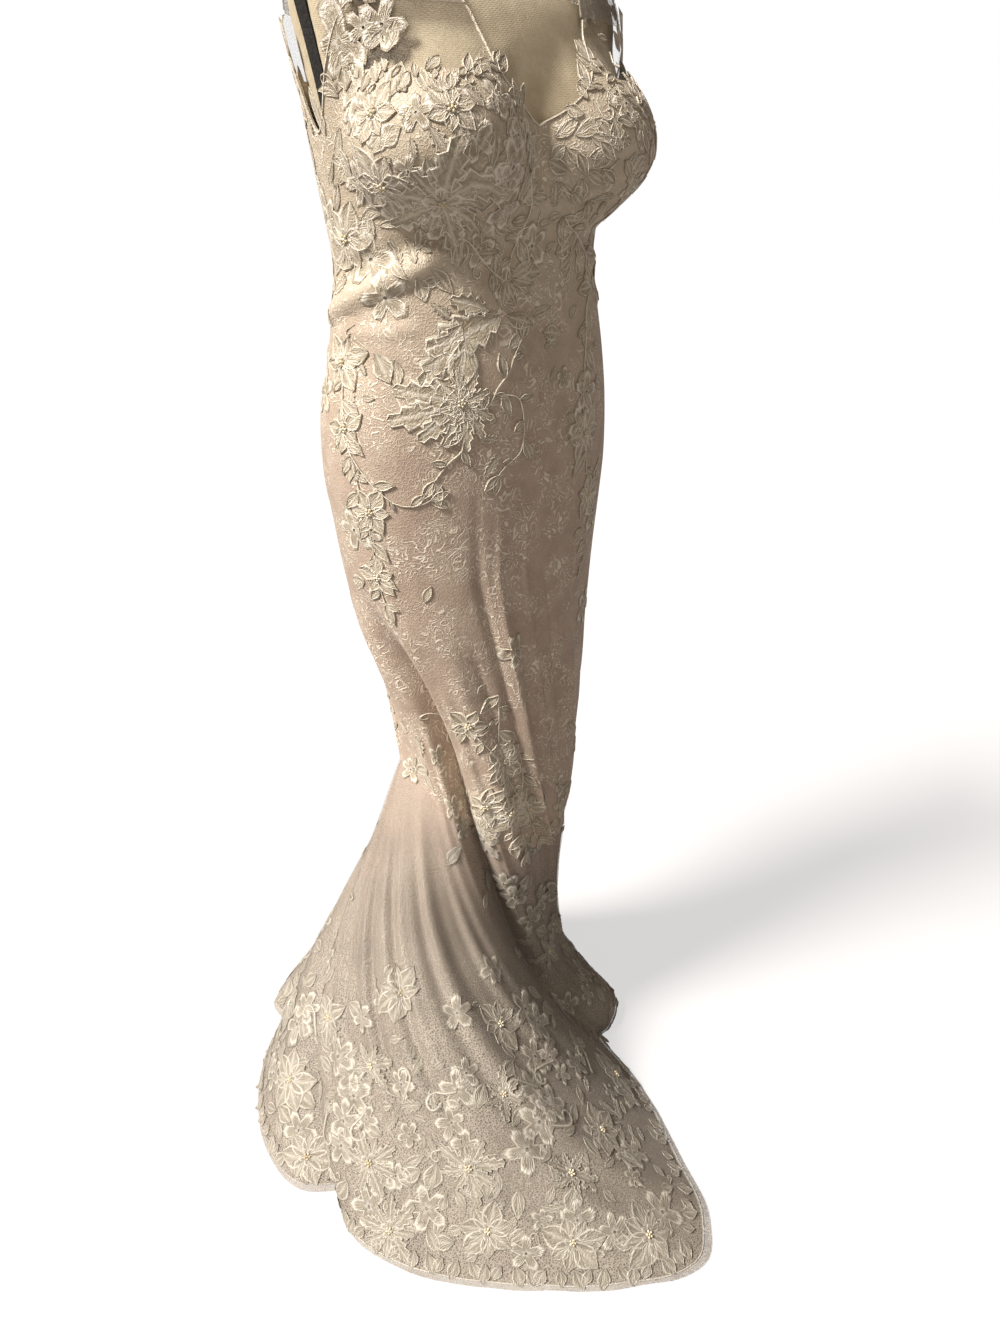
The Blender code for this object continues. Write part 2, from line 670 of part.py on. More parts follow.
def make_stand():
    make_turned("stand_base", [
        (BASE_RADIUS, 0.0),
        (BASE_RADIUS, BASE_THICK - BASE_BEVEL),
        (BASE_RADIUS - BASE_BEVEL, BASE_THICK),
    ], DARK_WOOD)
    make_turned("stand_pole", [
        (POLE_RADIUS, BASE_THICK + SEAM_GAP),
        (POLE_RADIUS, FORM_BOTTOM - SEAM_GAP),
    ], SATIN_METAL, 20)
    cap_low = FORM_TOP + SEAM_GAP
    make_turned("neck_cap", [
        (NECK_CAP_RADIUS - 0.004, cap_low),
        (NECK_CAP_RADIUS, cap_low + 0.004),
        (NECK_CAP_RADIUS, cap_low + NECK_CAP_THICK - 0.005),
        (NECK_CAP_RADIUS - 0.007, cap_low + NECK_CAP_THICK),
    ], DARK_WOOD)


# Sheer straps over the shoulders

def strap_edge_point(edge, along):
    """Angle and height on one edge of the left strap; along runs from the front, 0, to the back, 1."""
    away = abs(2 * along - 1)
    foot = edge.front_angle if along < 0.5 else edge.back_angle
    height = edge.crest + (SHOULDER_SEAM + STRAP_GAP - edge.crest) * away ** 2
    return 90.0 + (foot - 90.0) * away, height


def make_strap(name, side):
    rows = []
    for k in range(STRAP_ROWS + 1):
        neck_angle, neck_height = strap_edge_point(STRAP_NECK_EDGE, k / STRAP_ROWS)
        arm_angle, arm_height = strap_edge_point(STRAP_ARM_EDGE, k / STRAP_ROWS)
        row = []
        for column in range(STRAP_COLUMNS + 1):
            share = column / STRAP_COLUMNS
            angle = neck_angle + (arm_angle - neck_angle) * share
            height = neck_height + (arm_height - neck_height) * share
            row.append(around(side * angle, body_radius(side * angle, height), height))
        rows.append(row)
    if side < 0:
        rows = [row[::-1] for row in rows]
    inner = []
    for i, row in enumerate(rows):
        line = []
        for j, point in enumerate(row):
            along = rows[min(i + 1, STRAP_ROWS)][j] - rows[max(i - 1, 0)][j]
            across = row[min(j + 1, STRAP_COLUMNS)] - row[max(j - 1, 0)]
            line.append(point - across.cross(along).normalized() * CLOTH)
        inner.append(line)
    close_wall(name, [row for row in reversed(rows)], [row for row in reversed(inner)], SHEER_TULLE)


def main():
    clear_scene()
    rows = cloth_grid(garment_angles())
    make_gown(wall_surfaces(rows, grid_normals(rows), lace_relief(rows)))
    make_form()
    make_inner_sleeve("inner_sleeve_left", 1)
    make_inner_sleeve("inner_sleeve_right", -1)
    make_stand()
    make_strap("strap_left", 1)
    make_strap("strap_right", -1)


main()
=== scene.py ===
import json
import math

import bmesh
import bpy
import numpy as np
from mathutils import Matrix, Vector

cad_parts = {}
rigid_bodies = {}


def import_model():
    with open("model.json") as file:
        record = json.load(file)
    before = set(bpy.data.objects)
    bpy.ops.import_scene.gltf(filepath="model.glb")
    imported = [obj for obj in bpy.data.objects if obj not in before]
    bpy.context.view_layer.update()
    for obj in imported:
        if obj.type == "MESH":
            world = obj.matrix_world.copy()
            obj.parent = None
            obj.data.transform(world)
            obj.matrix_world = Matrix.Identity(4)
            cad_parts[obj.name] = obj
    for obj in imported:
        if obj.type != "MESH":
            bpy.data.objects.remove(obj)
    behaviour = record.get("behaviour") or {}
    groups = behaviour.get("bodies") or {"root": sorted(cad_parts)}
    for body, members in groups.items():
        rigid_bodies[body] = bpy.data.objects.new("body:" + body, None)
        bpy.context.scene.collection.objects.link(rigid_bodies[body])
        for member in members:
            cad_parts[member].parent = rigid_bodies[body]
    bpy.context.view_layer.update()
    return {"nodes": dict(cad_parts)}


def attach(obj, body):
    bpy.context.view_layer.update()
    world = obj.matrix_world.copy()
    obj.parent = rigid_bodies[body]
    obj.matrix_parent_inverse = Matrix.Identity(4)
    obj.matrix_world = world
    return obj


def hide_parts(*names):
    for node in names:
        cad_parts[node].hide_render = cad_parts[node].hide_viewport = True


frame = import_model()


# Stand: a round weighted base of dark stained wood with a satin steel pole screwed into it.
# The pole carries the form and stays inside the skirt.

def linear(hex_colour):
    """A colour as it is seen, in the linear values that shaders work in."""
    channels = [int(hex_colour[i:i + 2], 16) / 255 for i in (1, 3, 5)]
    return tuple(c / 12.92 if c <= 0.04045 else ((c + 0.055) / 1.055) ** 2.4 for c in channels) + (1.0,)


def new_material(name, **constants):
    """A material whose even values are set on the shader's own sockets."""
    material = bpy.data.materials.new(name)
    material.use_nodes = True
    shader = material.node_tree.nodes["Principled BSDF"]
    for socket, value in constants.items():
        shader.inputs[socket.replace("_", " ")].default_value = value
    return material


def add_node(owner, kind, links=None, stops=None, **settings):
    """One node: settings are its properties or the values of its sockets, links what feeds its sockets."""
    tree = getattr(owner, "node_tree", owner)
    node = tree.nodes.new(kind if "Node" in kind else "ShaderNode" + kind)
    for name, value in settings.items():
        if hasattr(node, name):
            setattr(node, name, value)
        else:
            node.inputs[int(name[1:]) if name[1:].isdigit() else name.replace("_", " ")].default_value = value
    for socket, source in (links or {}).items():
        tree.links.new(source, node.inputs[socket])
    for k, (place, colour) in enumerate(stops or []):
        ramp = node.color_ramp.elements
        element = ramp[k] if k < 2 else ramp.new(place)
        element.position, element.color = place, linear(colour)
    return node


def finish_material(material, **links):
    """Feeds the shader's sockets."""
    shader = material.node_tree.nodes["Principled BSDF"]
    for socket, source in links.items():
        material.node_tree.links.new(source, shader.inputs[socket.replace("_", " ")])
    return material


def dress_node(name, material):
    """Gives a CAD node that stays a better material."""
    node = frame["nodes"][name]
    for place in node.material_slots:
        place.material = material


# Grain lines about 4 mm apart, drawn out along the boards
wood = new_material("stained_wood", Roughness=0.42, Coat_Weight=0.25, Coat_Roughness=0.3)
place = add_node(wood, "TexCoord").outputs["Object"]
stretched = add_node(wood, "Mapping", {"Vector": place}, Scale=(1, 14, 14)).outputs["Vector"]
grain = add_node(wood, "TexNoise", {"Vector": stretched}, Scale=16, Detail=6, Distortion=0.6).outputs["Fac"]
browns = add_node(wood, "ValToRGB", {"Fac": grain}, [(0.3, "#2A1B12"), (0.7, "#51372A")]).outputs["Color"]
pores = add_node(wood, "Bump", {"Height": grain}, Strength=0.25, Distance=0.001).outputs["Normal"]
finish_material(wood, Base_Color=browns, Normal=pores)
dress_node("stand_base", wood)
dress_node("neck_cap", wood)

# Brushed round the pole, with marks under 1 mm
steel = new_material("brushed_steel", Metallic=1.0)
place = add_node(steel, "TexCoord").outputs["Object"]
drawn = add_node(steel, "Mapping", {"Vector": place}, Scale=(1, 1, 30)).outputs["Vector"]
marks = add_node(steel, "TexNoise", {"Vector": drawn}, Scale=60, Detail=4).outputs["Fac"]
greys = add_node(steel, "ValToRGB", {"Fac": marks}, [(0.3, "#8C8A86"), (0.7, "#B4B1AB")]).outputs["Color"]
dull = add_node(steel, "MapRange", {"Value": marks}, To_Min=0.25, To_Max=0.42).outputs["Result"]
finish_material(steel, Base_Color=greys, Roughness=dull)
dress_node("stand_pole", steel)


# Dress form: a padded torso covered in cream linen, split down its sides where it adjusts,
# with black knit showing in the gap. Its cover is left bare.

# Threads run round the form and up it, 1.6 mm apart, which is coarser than the real 0.5 mm
linen = new_material("cream_linen", Roughness=0.85, Sheen_Weight=0.15, Sheen_Roughness=0.5)
place = add_node(linen, "TexCoord").outputs["Object"]
slubs = add_node(linen, "TexNoise", {"Vector": place}, Scale=90, Detail=5, Roughness=0.7).outputs["Fac"]
weft = add_node(linen, "TexWave", {"Vector": place}, bands_direction="Z", Scale=196, Distortion=1.2,
                Detail=2).outputs["Fac"]
warp = add_node(linen, "TexWave", {"Vector": place}, bands_direction="DIAGONAL", Scale=150, Distortion=1.0,
                Detail=2).outputs["Fac"]
threads = add_node(linen, "Math", {0: weft, 1: warp}, operation="MAXIMUM").outputs["Value"]
blotches = add_node(linen, "TexNoise", {"Vector": place}, Scale=7, Detail=4).outputs["Fac"]
mixed = add_node(linen, "Math", {0: slubs, 1: blotches}, operation="ADD").outputs["Value"]
half = add_node(linen, "Math", {0: mixed}, operation="MULTIPLY", _1=0.5).outputs["Value"]
creams = add_node(linen, "ValToRGB", {"Fac": half}, [(0.38, "#BDAE90"), (0.62, "#D3C5A9")])
woven = add_node(linen, "Bump", {"Height": threads}, Strength=0.35, Distance=0.0006).outputs["Normal"]
finish_material(linen, Base_Color=creams.outputs["Color"], Normal=woven)

# The cover is stretched smooth over the padding, so the torso's own solid is evened out and softened
torso_mesh = frame["nodes"]["form_torso"].data.copy()
merged = bmesh.new()
merged.from_mesh(torso_mesh)
bmesh.ops.remove_doubles(merged, verts=merged.verts, dist=1e-5)
merged.to_mesh(torso_mesh)
merged.free()
torso = bpy.data.objects.new("linen_torso", torso_mesh)
bpy.context.scene.collection.objects.link(torso)
even = torso.modifiers.new("even", "REMESH")
even.mode, even.voxel_size = "VOXEL", 0.005
soft = torso.modifiers.new("soft", "SMOOTH")
soft.factor, soft.iterations = 0.5, 20
bpy.context.view_layer.update()
torso_mesh = bpy.data.meshes.new_from_object(torso.evaluated_get(bpy.context.evaluated_depsgraph_get()))
torso.modifiers.clear()
torso.data = torso_mesh
torso_mesh.materials.clear()
torso_mesh.materials.append(linen)
torso_mesh.shade_smooth()
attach(torso, "root")
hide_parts("form_torso")

# Knit loops 3 mm apart, coarser than the real 1 mm
knit = new_material("black_knit", Roughness=0.85)
place = add_node(knit, "TexCoord").outputs["Object"]
loops = add_node(knit, "TexVoronoi", {"Vector": place}, Scale=330).outputs["Distance"]
blacks = add_node(knit, "ValToRGB", {"Fac": loops}, [(0.1, "#2E2B28"), (0.6, "#151412")]).outputs["Color"]
rows = add_node(knit, "Bump", {"Height": loops}, Strength=0.5, Distance=0.001).outputs["Normal"]
finish_material(knit, Base_Color=blacks, Normal=rows)
dress_node("inner_sleeve_left", knit)
dress_node("inner_sleeve_right", knit)


# Bodice: moulded cups, midriff, sides and back, joined in one fitted shell of corded lace laid
# over blush satin and sewn at the princess lines. It opens at the neck and armholes.

UNDERBUST, WAIST, SHOULDER_SEAM = 1.165, 1.09, 1.365

# height, half widths to the wearer's right and left, depths to the front and back
BODY = np.array([
    (0.20, 0.112, 0.142, 0.110, 0.104), (0.30, 0.112, 0.142, 0.110, 0.102),
    (0.41, 0.108, 0.152, 0.110, 0.100), (0.49, 0.103, 0.160, 0.111, 0.100),
    (0.57, 0.110, 0.168, 0.113, 0.106), (0.65, 0.134, 0.172, 0.115, 0.116),
    (0.72, 0.156, 0.174, 0.117, 0.128), (0.79, 0.169, 0.180, 0.118, 0.140),
    (0.857, 0.178, 0.188, 0.120, 0.148), (0.91, 0.185, 0.193, 0.121, 0.152),
    (0.98, 0.184, 0.190, 0.121, 0.146), (1.04, 0.172, 0.181, 0.119, 0.130),
    (1.095, 0.164, 0.170, 0.114, 0.116), (1.14, 0.160, 0.160, 0.112, 0.110),
    (1.20, 0.168, 0.168, 0.116, 0.118), (1.25, 0.176, 0.178, 0.122, 0.122),
    (1.295, 0.184, 0.188, 0.123, 0.126), (1.34, 0.195, 0.196, 0.117, 0.126),
    (1.375, 0.199, 0.198, 0.102, 0.122), (1.405, 0.192, 0.188, 0.084, 0.106),
    (1.43, 0.165, 0.163, 0.068, 0.086), (1.45, 0.130, 0.130, 0.060, 0.074),
    (1.468, 0.094, 0.094, 0.056, 0.066), (1.485, 0.072, 0.072, 0.055, 0.061),
])

# angle from the front, height of the neckline, armhole and back edge
TOP_EDGE = np.array([
    (0, 1.268), (12, 1.283), (24, 1.312), (30, 1.342), (36, 1.365), (48, 1.365), (60, 1.365), (72, 1.365),
    (80, 1.320), (90, 1.262), (100, 1.320), (108, 1.365), (124, 1.365), (144, 1.365), (156, 1.310),
    (168, 1.245), (180, 1.205),
])

# garment angle, height of the flounce's seam, how far the hem is swept round, its reach from the
# axis, and how far it trains
FLARE = np.array([
    (-180, 0.470, 113.5, 0.366, 1.00), (-176, 0.475, 115.0, 0.408, 1.00), (-171, 0.480, 117.0, 0.430, 1.00),
    (-164, 0.490, 120.0, 0.445, 1.00), (-153, 0.495, 124.0, 0.462, 1.00), (-142, 0.500, 126.0, 0.490, 1.00),
    (-131, 0.490, 127.5, 0.515, 1.00), (-125, 0.485, 127.5, 0.478, 1.00), (-119, 0.480, 127.5, 0.398, 1.00),
    (-111, 0.465, 127.0, 0.325, 1.00), (-103, 0.450, 126.5, 0.270, 0.90), (-96, 0.430, 126.0, 0.228, 0.70),
    (-90, 0.420, 126.0, 0.204, 0.45), (-82, 0.415, 124.0, 0.214, 0.15), (-60, 0.390, 118.0, 0.228, 0.00),
    (-20, 0.370, 103.0, 0.206, 0.00), (20, 0.370, 96.0, 0.225, 0.00), (60, 0.390, 96.0, 0.250, 0.15),
    (90, 0.410, 98.0, 0.290, 0.45), (110, 0.415, 101.0, 0.320, 0.75), (126, 0.420, 103.5, 0.334, 0.95),
    (132, 0.425, 104.5, 0.312, 1.00), (141, 0.430, 106.0, 0.335, 1.00), (152, 0.440, 108.0, 0.362, 1.00),
    (164, 0.450, 110.0, 0.388, 1.00), (174, 0.460, 112.0, 0.396, 1.00), (180, 0.470, 113.5, 0.366, 1.00),
])

# share of the flounce's length, then height and reach where it drops, and where it trains
FALL = np.array([
    (0.00, 1.00, 0.00, 1.00, 0.00), (0.20, 0.78, -0.02, 0.79, 0.13), (0.40, 0.56, 0.02, 0.58, 0.32),
    (0.60, 0.35, 0.20, 0.38, 0.54), (0.75, 0.21, 0.55, 0.22, 0.72), (0.90, 0.07, 0.94, 0.08, 0.89),
    (1.00, 0.00, 1.00, 0.00, 1.00),
])

# Soft ridges and troughs: garment angle at the top and at the bottom, heights of both ends, half
# width in degrees, swell. The first six are the main folds; the rest are the finer creases.
FOLDS = np.array([
    (-90, -90, 0.80, 0.40, 12, -0.032), (-24, -24, 0.85, 0.38, 9, 0.007), (-58, -58, 0.78, 0.40, 13, 0.006),
    (14, 14, 0.76, 0.40, 13, -0.006), (64, 64, 0.74, 0.40, 15, -0.006), (128, 128, 0.74, 0.44, 15, 0.007),
    (-34, -30, 0.94, 0.42, 4.5, -0.0045), (-12, -16, 0.90, 0.40, 4.0, -0.0040),
    (-20, -24, 0.92, 0.40, 3.5, 0.0040), (-3, -6, 0.94, 0.42, 3.5, 0.0035), (12, 16, 0.88, 0.40, 3.5, -0.0035),
    (-44, -48, 0.74, 0.42, 4.0, -0.0030), (-70, -72, 0.70, 0.42, 5.0, 0.0040),
    (2, 6, 0.72, 0.40, 4.0, 0.0030), (30, 26, 0.80, 0.41, 6.0, 0.0035), (46, 50, 0.66, 0.42, 5.0, -0.0030),
    (84, 80, 0.78, 0.42, 7.0, 0.0040), (104, 108, 0.70, 0.44, 6.0, -0.0035),
    (150, 146, 0.72, 0.46, 7.0, -0.0035), (170, 168, 0.66, 0.47, 5.0, 0.0040),
    (-110, -106, 0.78, 0.46, 5.0, 0.0040), (-128, -130, 0.74, 0.50, 7.0, -0.0035),
    (-98, -99, 0.66, 0.45, 3.5, 0.0060), (-84, -87, 0.66, 0.43, 3.5, -0.0050),
    (-150, -146, 0.70, 0.50, 6.0, 0.0040), (-170, -172, 0.68, 0.50, 5.0, -0.0030),
])

# Wrinkles where the cloth is pulled across the body: start and end angle, height at each, half
# height, swell
WRINKLES = np.array([
    (-112, -38, 1.078, 1.158, 0.017, 0.0080), (-96, -52, 1.068, 1.082, 0.009, 0.0030),
    (-120, -82, 1.050, 1.040, 0.010, 0.0020), (-100, -34, 1.122, 1.186, 0.014, -0.0035),
    (-30, 6, 1.150, 1.132, 0.009, 0.0020), (34, 96, 1.150, 1.122, 0.014, 0.0040),
    (50, 110, 1.100, 1.082, 0.009, 0.0025), (98, 150, 1.128, 1.140, 0.012, 0.0030),
    (-160, -112, 1.140, 1.128, 0.011, 0.0030), (-70, -40, 1.045, 1.020, 0.010, -0.0015),
])


def curve(table, column, at):
    """A column of a table on the smooth curve through its rows."""
    keys, values = table[:, 0], table[:, column]
    at = np.clip(at, keys[0], keys[-1])
    slopes = np.gradient(values)
    slopes[1:-1] = (values[2:] - values[:-2]) / (keys[2:] - keys[:-2])
    slopes[0] = (values[1] - values[0]) / (keys[1] - keys[0])
    slopes[-1] = (values[-1] - values[-2]) / (keys[-1] - keys[-2])
    low = np.clip(np.searchsorted(keys, at, side="right") - 1, 0, len(keys) - 2)
    span = keys[low + 1] - keys[low]
    share = (at - keys[low]) / span
    s2, s3 = share ** 2, share ** 3
    ends = values[low] * (2 * s3 - 3 * s2 + 1) + values[low + 1] * (3 * s2 - 2 * s3)
    return ends + span * (slopes[low] * (s3 - 2 * s2 + share) + slopes[low + 1] * (s3 - s2))


def smooth_step(x):
    x = np.clip(x, 0.0, 1.0)
    return x * x * (3 - 2 * x)


def turn_between(a, b):
    return (a - b + 180.0) % 360.0 - 180.0


def around(angle, radius, height):
    turned = np.radians(angle)
    return np.stack([radius * np.sin(turned), -radius * np.cos(turned), height], axis=-1)


def body_radius(angle, height):
    """Distance from the axis to the cloth on the body, before any folds."""
    turned = np.radians(angle)
    across, along = np.sin(turned), np.cos(turned)
    half_width = np.where(across > 0, curve(BODY, 2, height), curve(BODY, 1, height))
    depth = np.where(along > 0, curve(BODY, 3, height), curve(BODY, 4, height))
    radius = 1.0 / np.hypot(across / half_width, along / depth)
    for side in (-1, 1):
        turn = turn_between(angle, side * 42.0) / 40.0
        rise = (height - 1.243) / np.where(height > 1.243, 0.110, 0.082)
        radius = radius + 0.060 * np.maximum(1 - turn ** 2 - rise ** 2, 0.0) ** 1.5
    return radius


def fold_offset(angle, height):
    """How far folds, creases and wrinkles lift the cloth off the body's line."""
    total = np.zeros(np.shape(angle))
    for start, end, top, bottom, half_turn, swell in FOLDS:
        down = (top - height) / (top - bottom)
        middle = start + (end - start) * np.clip(down, 0, 1)
        beside = np.minimum(np.abs(turn_between(angle, middle)) / half_turn, 1.0)
        total = total + swell * smooth_step(down * 2.5) * (1 - beside ** 1.4) ** 1.5
    for start, end, first, last, half_height, swell in WRINKLES:
        along = (angle - start) / (end - start)
        middle = first + (last - first) * along
        beside = np.minimum(np.abs(height - middle) / half_height, 1.0)
        ends = smooth_step(along * 4) * smooth_step((1 - along) * 4)
        total = total + swell * ends * (1 - beside ** 2) ** 1.5
    return total


def fan_wave(angle, share):
    """Folds that fan out over the train, deepest in its middle."""
    along = (angle + 178.0) / 74.0
    ends = smooth_step(along * 5) * smooth_step((1 - along) * 5)
    broad = 0.0040 * np.sin(2 * np.pi * 7 * along)
    uneven = 0.0022 * np.sin(2 * np.pi * 12.3 * along + 1.1) * smooth_step(share * 3)
    return (broad + uneven) * ends * smooth_step(share * 2.2) * (1.2 - share)


def swept(angle, height):
    return angle + curve(FLARE, 2, angle) * np.maximum(0.0, (0.80 - height) / 0.80) ** 1.18


def gown(angle, level):
    """A point of the gown. level is 0 at the top edge, 1 at the waist, 2 at the flounce's seam, 3 at the hem."""
    angle = (np.asarray(angle, float) + 180.0) % 360.0 - 180.0
    level = np.clip(np.asarray(level, float), 0.0, 3.0)
    seam, train = curve(FLARE, 1, angle), curve(FLARE, 4, angle)
    top = np.minimum(curve(TOP_EDGE, 1, np.abs(angle)), SHOULDER_SEAM)
    share = np.maximum(level - 2.0, 0.0)
    height = np.where(level < 1, top + (WAIST - top) * level, WAIST + (seam - WAIST) * (level - 1))
    height = np.where(level > 2, seam, height)
    around_body = swept(angle, height)
    radius = body_radius(around_body, height) + fold_offset(angle, height)
    drop = curve(FALL, 1, share) * (1 - train) + curve(FALL, 3, share) * train
    out = curve(FALL, 2, share) * (1 - train) + curve(FALL, 4, share) * train
    wave = fan_wave(angle, share)
    low = seam * drop
    radius = np.where(level > 2, radius + (curve(FLARE, 3, angle) - radius) * out + wave, radius)
    height = np.where(level > 2, np.maximum(low + np.maximum(wave, -0.3 * low), 0.0), height)
    return around(np.where(level > 2, swept(angle, low), around_body), radius, height)


def tangents(surface, a, b):
    """How a surface moves with each of its two measures, and its outward normal."""
    step_a, step_b = 0.25, 0.004
    along_a = (surface(a + step_a, b) - surface(a - step_a, b)) / (2 * step_a)
    along_b = (surface(a, b + step_b) - surface(a, b - step_b)) / (2 * step_b)
    normal = np.cross(along_b, along_a)
    normal /= np.maximum(np.linalg.norm(normal, axis=-1, keepdims=True), 1e-12)
    return along_a, along_b, normal


def new_piece(name, points, faces, material, garment=None):
    """A smooth-shaded piece in the row's frame, on its body, with its measures kept for its material."""
    mesh = bpy.data.meshes.new(name)
    mesh.from_pydata(np.asarray(points).reshape(-1, 3).tolist(), [], faces)
    if garment is not None:
        kept = mesh.attributes.new("garment", "FLOAT_VECTOR", "POINT")
        kept.data.foreach_set("vector", np.ascontiguousarray(garment, np.float32).ravel())
    mesh.materials.append(material)
    mesh.shade_smooth()
    mesh.set_sharp_from_angle(angle=math.radians(60))
    piece = bpy.data.objects.new(name, mesh)
    bpy.context.scene.collection.objects.link(piece)
    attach(piece, "root")
    return piece


def grid_faces(rows, columns, closed, first=0, outwards=True):
    faces = []
    for i in range(rows - 1):
        for j in range(columns if closed else columns - 1):
            k = (j + 1) % columns
            quad = [first + i * columns + j, first + (i + 1) * columns + j, first + (i + 1) * columns + k,
                    first + i * columns + k]
            faces.append(quad if outwards else quad[::-1])
    return faces


def shell(name, surface, across, down, lift, thickness, material, closed=True):
    """A thin closed sheet on a surface: an outer face raised by lift, an inner one, and the rims between."""
    a, b = np.meshgrid(across, down)
    normal = tangents(surface, a, b)[2]
    centre = surface(a, b)
    outer = centre + normal * lift
    inner = centre + normal * (lift - thickness)
    outer[..., 2] = np.maximum(outer[..., 2], thickness + lift * 0.5)
    inner[..., 2] = np.maximum(inner[..., 2], lift * 0.5)
    rows, columns = a.shape
    faces = grid_faces(rows, columns, closed) + grid_faces(rows, columns, closed, rows * columns, False)
    base = rows * columns
    for j in range(columns if closed else columns - 1):
        k = (j + 1) % columns
        faces.append([j, k, base + k, base + j])
        low = (rows - 1) * columns
        faces.append([low + k, low + j, base + low + j, base + low + k])
    for i in range(0 if closed else rows - 1):
        left, right = i * columns, i * columns + columns - 1
        faces.append([left + columns, left, base + left, base + left + columns])
        faces.append([right, right + columns, base + right + columns, base + right])
    garment = np.stack([a / 100, b, 0 * a], axis=-1).reshape(-1, 3)
    points = np.concatenate([outer.reshape(-1, 3), inner.reshape(-1, 3)])
    return new_piece(name, points, faces, material, np.concatenate([garment, garment]))


def gown_angles():
    """Columns of the cloth: 1 degree apart over the train, 1.5 elsewhere."""
    return np.concatenate([np.arange(-180, -90, 1.0), np.arange(-90, 180, 1.5)])


# Corded lace over satin, cream at the bust and blush below the waist; the cream is a real tint, made lighter as
# painted light for the better-lit top. The net's holes are 4 mm, coarser than the real 1.5 mm, and fine cords
# curl over it in sprigs 15 to 20 mm across.
lace_cloth = new_material("corded_lace_on_satin", Roughness=0.55, Sheen_Weight=0.08, Sheen_Roughness=0.4)
place = add_node(lace_cloth, "TexCoord").outputs["Object"]
swirl = add_node(lace_cloth, "TexNoise", {"Vector": place}, Scale=52, Detail=1.5, Distortion=0.8).outputs["Fac"]
turns = add_node(lace_cloth, "Math", {0: swirl}, operation="PINGPONG", _1=0.055).outputs["Value"]
cord = add_node(lace_cloth, "MapRange", {"Value": turns}, From_Min=0.006, From_Max=0.020, To_Min=1.0,
                To_Max=0.0).outputs["Result"]
patches = add_node(lace_cloth, "TexNoise", {"Vector": place}, Scale=23, Detail=2).outputs["Fac"]
worked = add_node(lace_cloth, "MapRange", {"Value": patches}, From_Min=0.42, From_Max=0.53).outputs["Result"]
sprigs = add_node(lace_cloth, "Math", {0: cord, 1: worked}, operation="MULTIPLY").outputs["Value"]
cells = add_node(lace_cloth, "TexVoronoi", {"Vector": place}, feature="DISTANCE_TO_EDGE", Scale=250).outputs["Distance"]
net = add_node(lace_cloth, "MapRange", {"Value": cells}, From_Min=0.02, From_Max=0.14, To_Min=1.0,
               To_Max=0.0).outputs["Result"]
blotches = add_node(lace_cloth, "TexNoise", {"Vector": place}, Scale=26, Detail=5, Roughness=0.65).outputs["Fac"]
blush = add_node(lace_cloth, "ValToRGB", {"Fac": blotches}, [(0.36, "#A89384"), (0.66, "#BDAA99")]).outputs["Color"]
cream = add_node(lace_cloth, "ValToRGB", {"Fac": blotches}, [(0.36, "#B0A18B"), (0.66, "#CDC0AB")]).outputs["Color"]
measures = add_node(lace_cloth, "Attribute", attribute_name="garment").outputs["Vector"]
level = add_node(lace_cloth, "SeparateXYZ", {"Vector": measures}).outputs["Y"]
# Partly painted light: the bust's cream is lighter than the blush below because the top is better lit.
below = add_node(lace_cloth, "MapRange", {"Value": level}, From_Min=0.75, From_Max=1.25).outputs["Result"]
ground = add_node(lace_cloth, "MixRGB", {"Fac": below, "Color1": cream, "Color2": blush}).outputs["Color"]
faint = add_node(lace_cloth, "Math", {0: net}, operation="MULTIPLY", _1=0.40).outputs["Value"]
netted = add_node(lace_cloth, "MixRGB", {"Color1": ground, "Fac": faint}, Color2=linear("#CDBCA2")).outputs["Color"]
thin = add_node(lace_cloth, "Math", {0: sprigs}, operation="MULTIPLY", _1=0.85).outputs["Value"]
corded = add_node(lace_cloth, "MixRGB", {"Color1": netted, "Fac": thin}, Color2=linear("#EFE5D2")).outputs["Color"]
relief = add_node(lace_cloth, "Math", {0: sprigs, 1: faint}, operation="ADD").outputs["Value"]
raised = add_node(lace_cloth, "Bump", {"Height": relief}, Strength=0.6, Distance=0.0012).outputs["Normal"]
finish_material(lace_cloth, Base_Color=corded, Normal=raised)


def cup_level(angle):
    """Where the opaque cups and back begin, below the sheer yoke."""
    arc = np.abs(turn_between(angle, 0.0))
    front = smooth_step((arc - 27) / 9) * smooth_step((80 - arc) / 7)
    back = smooth_step((arc - 100) / 7) * smooth_step((160 - arc) / 9)
    return 0.20 * np.maximum(front, back)


def below_yoke(angle, share):
    return gown(angle, cup_level(angle) + (1 - cup_level(angle)) * share)


bodice = shell("lace_bodice", below_yoke, gown_angles(), np.linspace(0, 1, 41), 0.0006, 0.0016, lace_cloth)
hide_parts("cup_right", "cup_left", "midriff", "bodice_side_right", "bodice_side_left",
            "bodice_back_right", "bodice_back_left")


# Skirt: fitted gores from the waist to below the knee, of the same lace over satin, with soft
# lengthwise creases. Its seams meet the bodice at the waist.

skirt = shell("lace_skirt", gown, gown_angles(), np.linspace(1, 2, 109), 0.0006, 0.0016, lace_cloth)
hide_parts("skirt_front", "skirt_side_right", "skirt_side_left", "skirt_back_right", "skirt_back_left")


# Flounce: an opaque blush crepe underlayer, cut flared and swept into a train, under a layer of
# sheer tulle that carries the lace. Both are sewn to the skirt's lower edge and lie out on the floor.

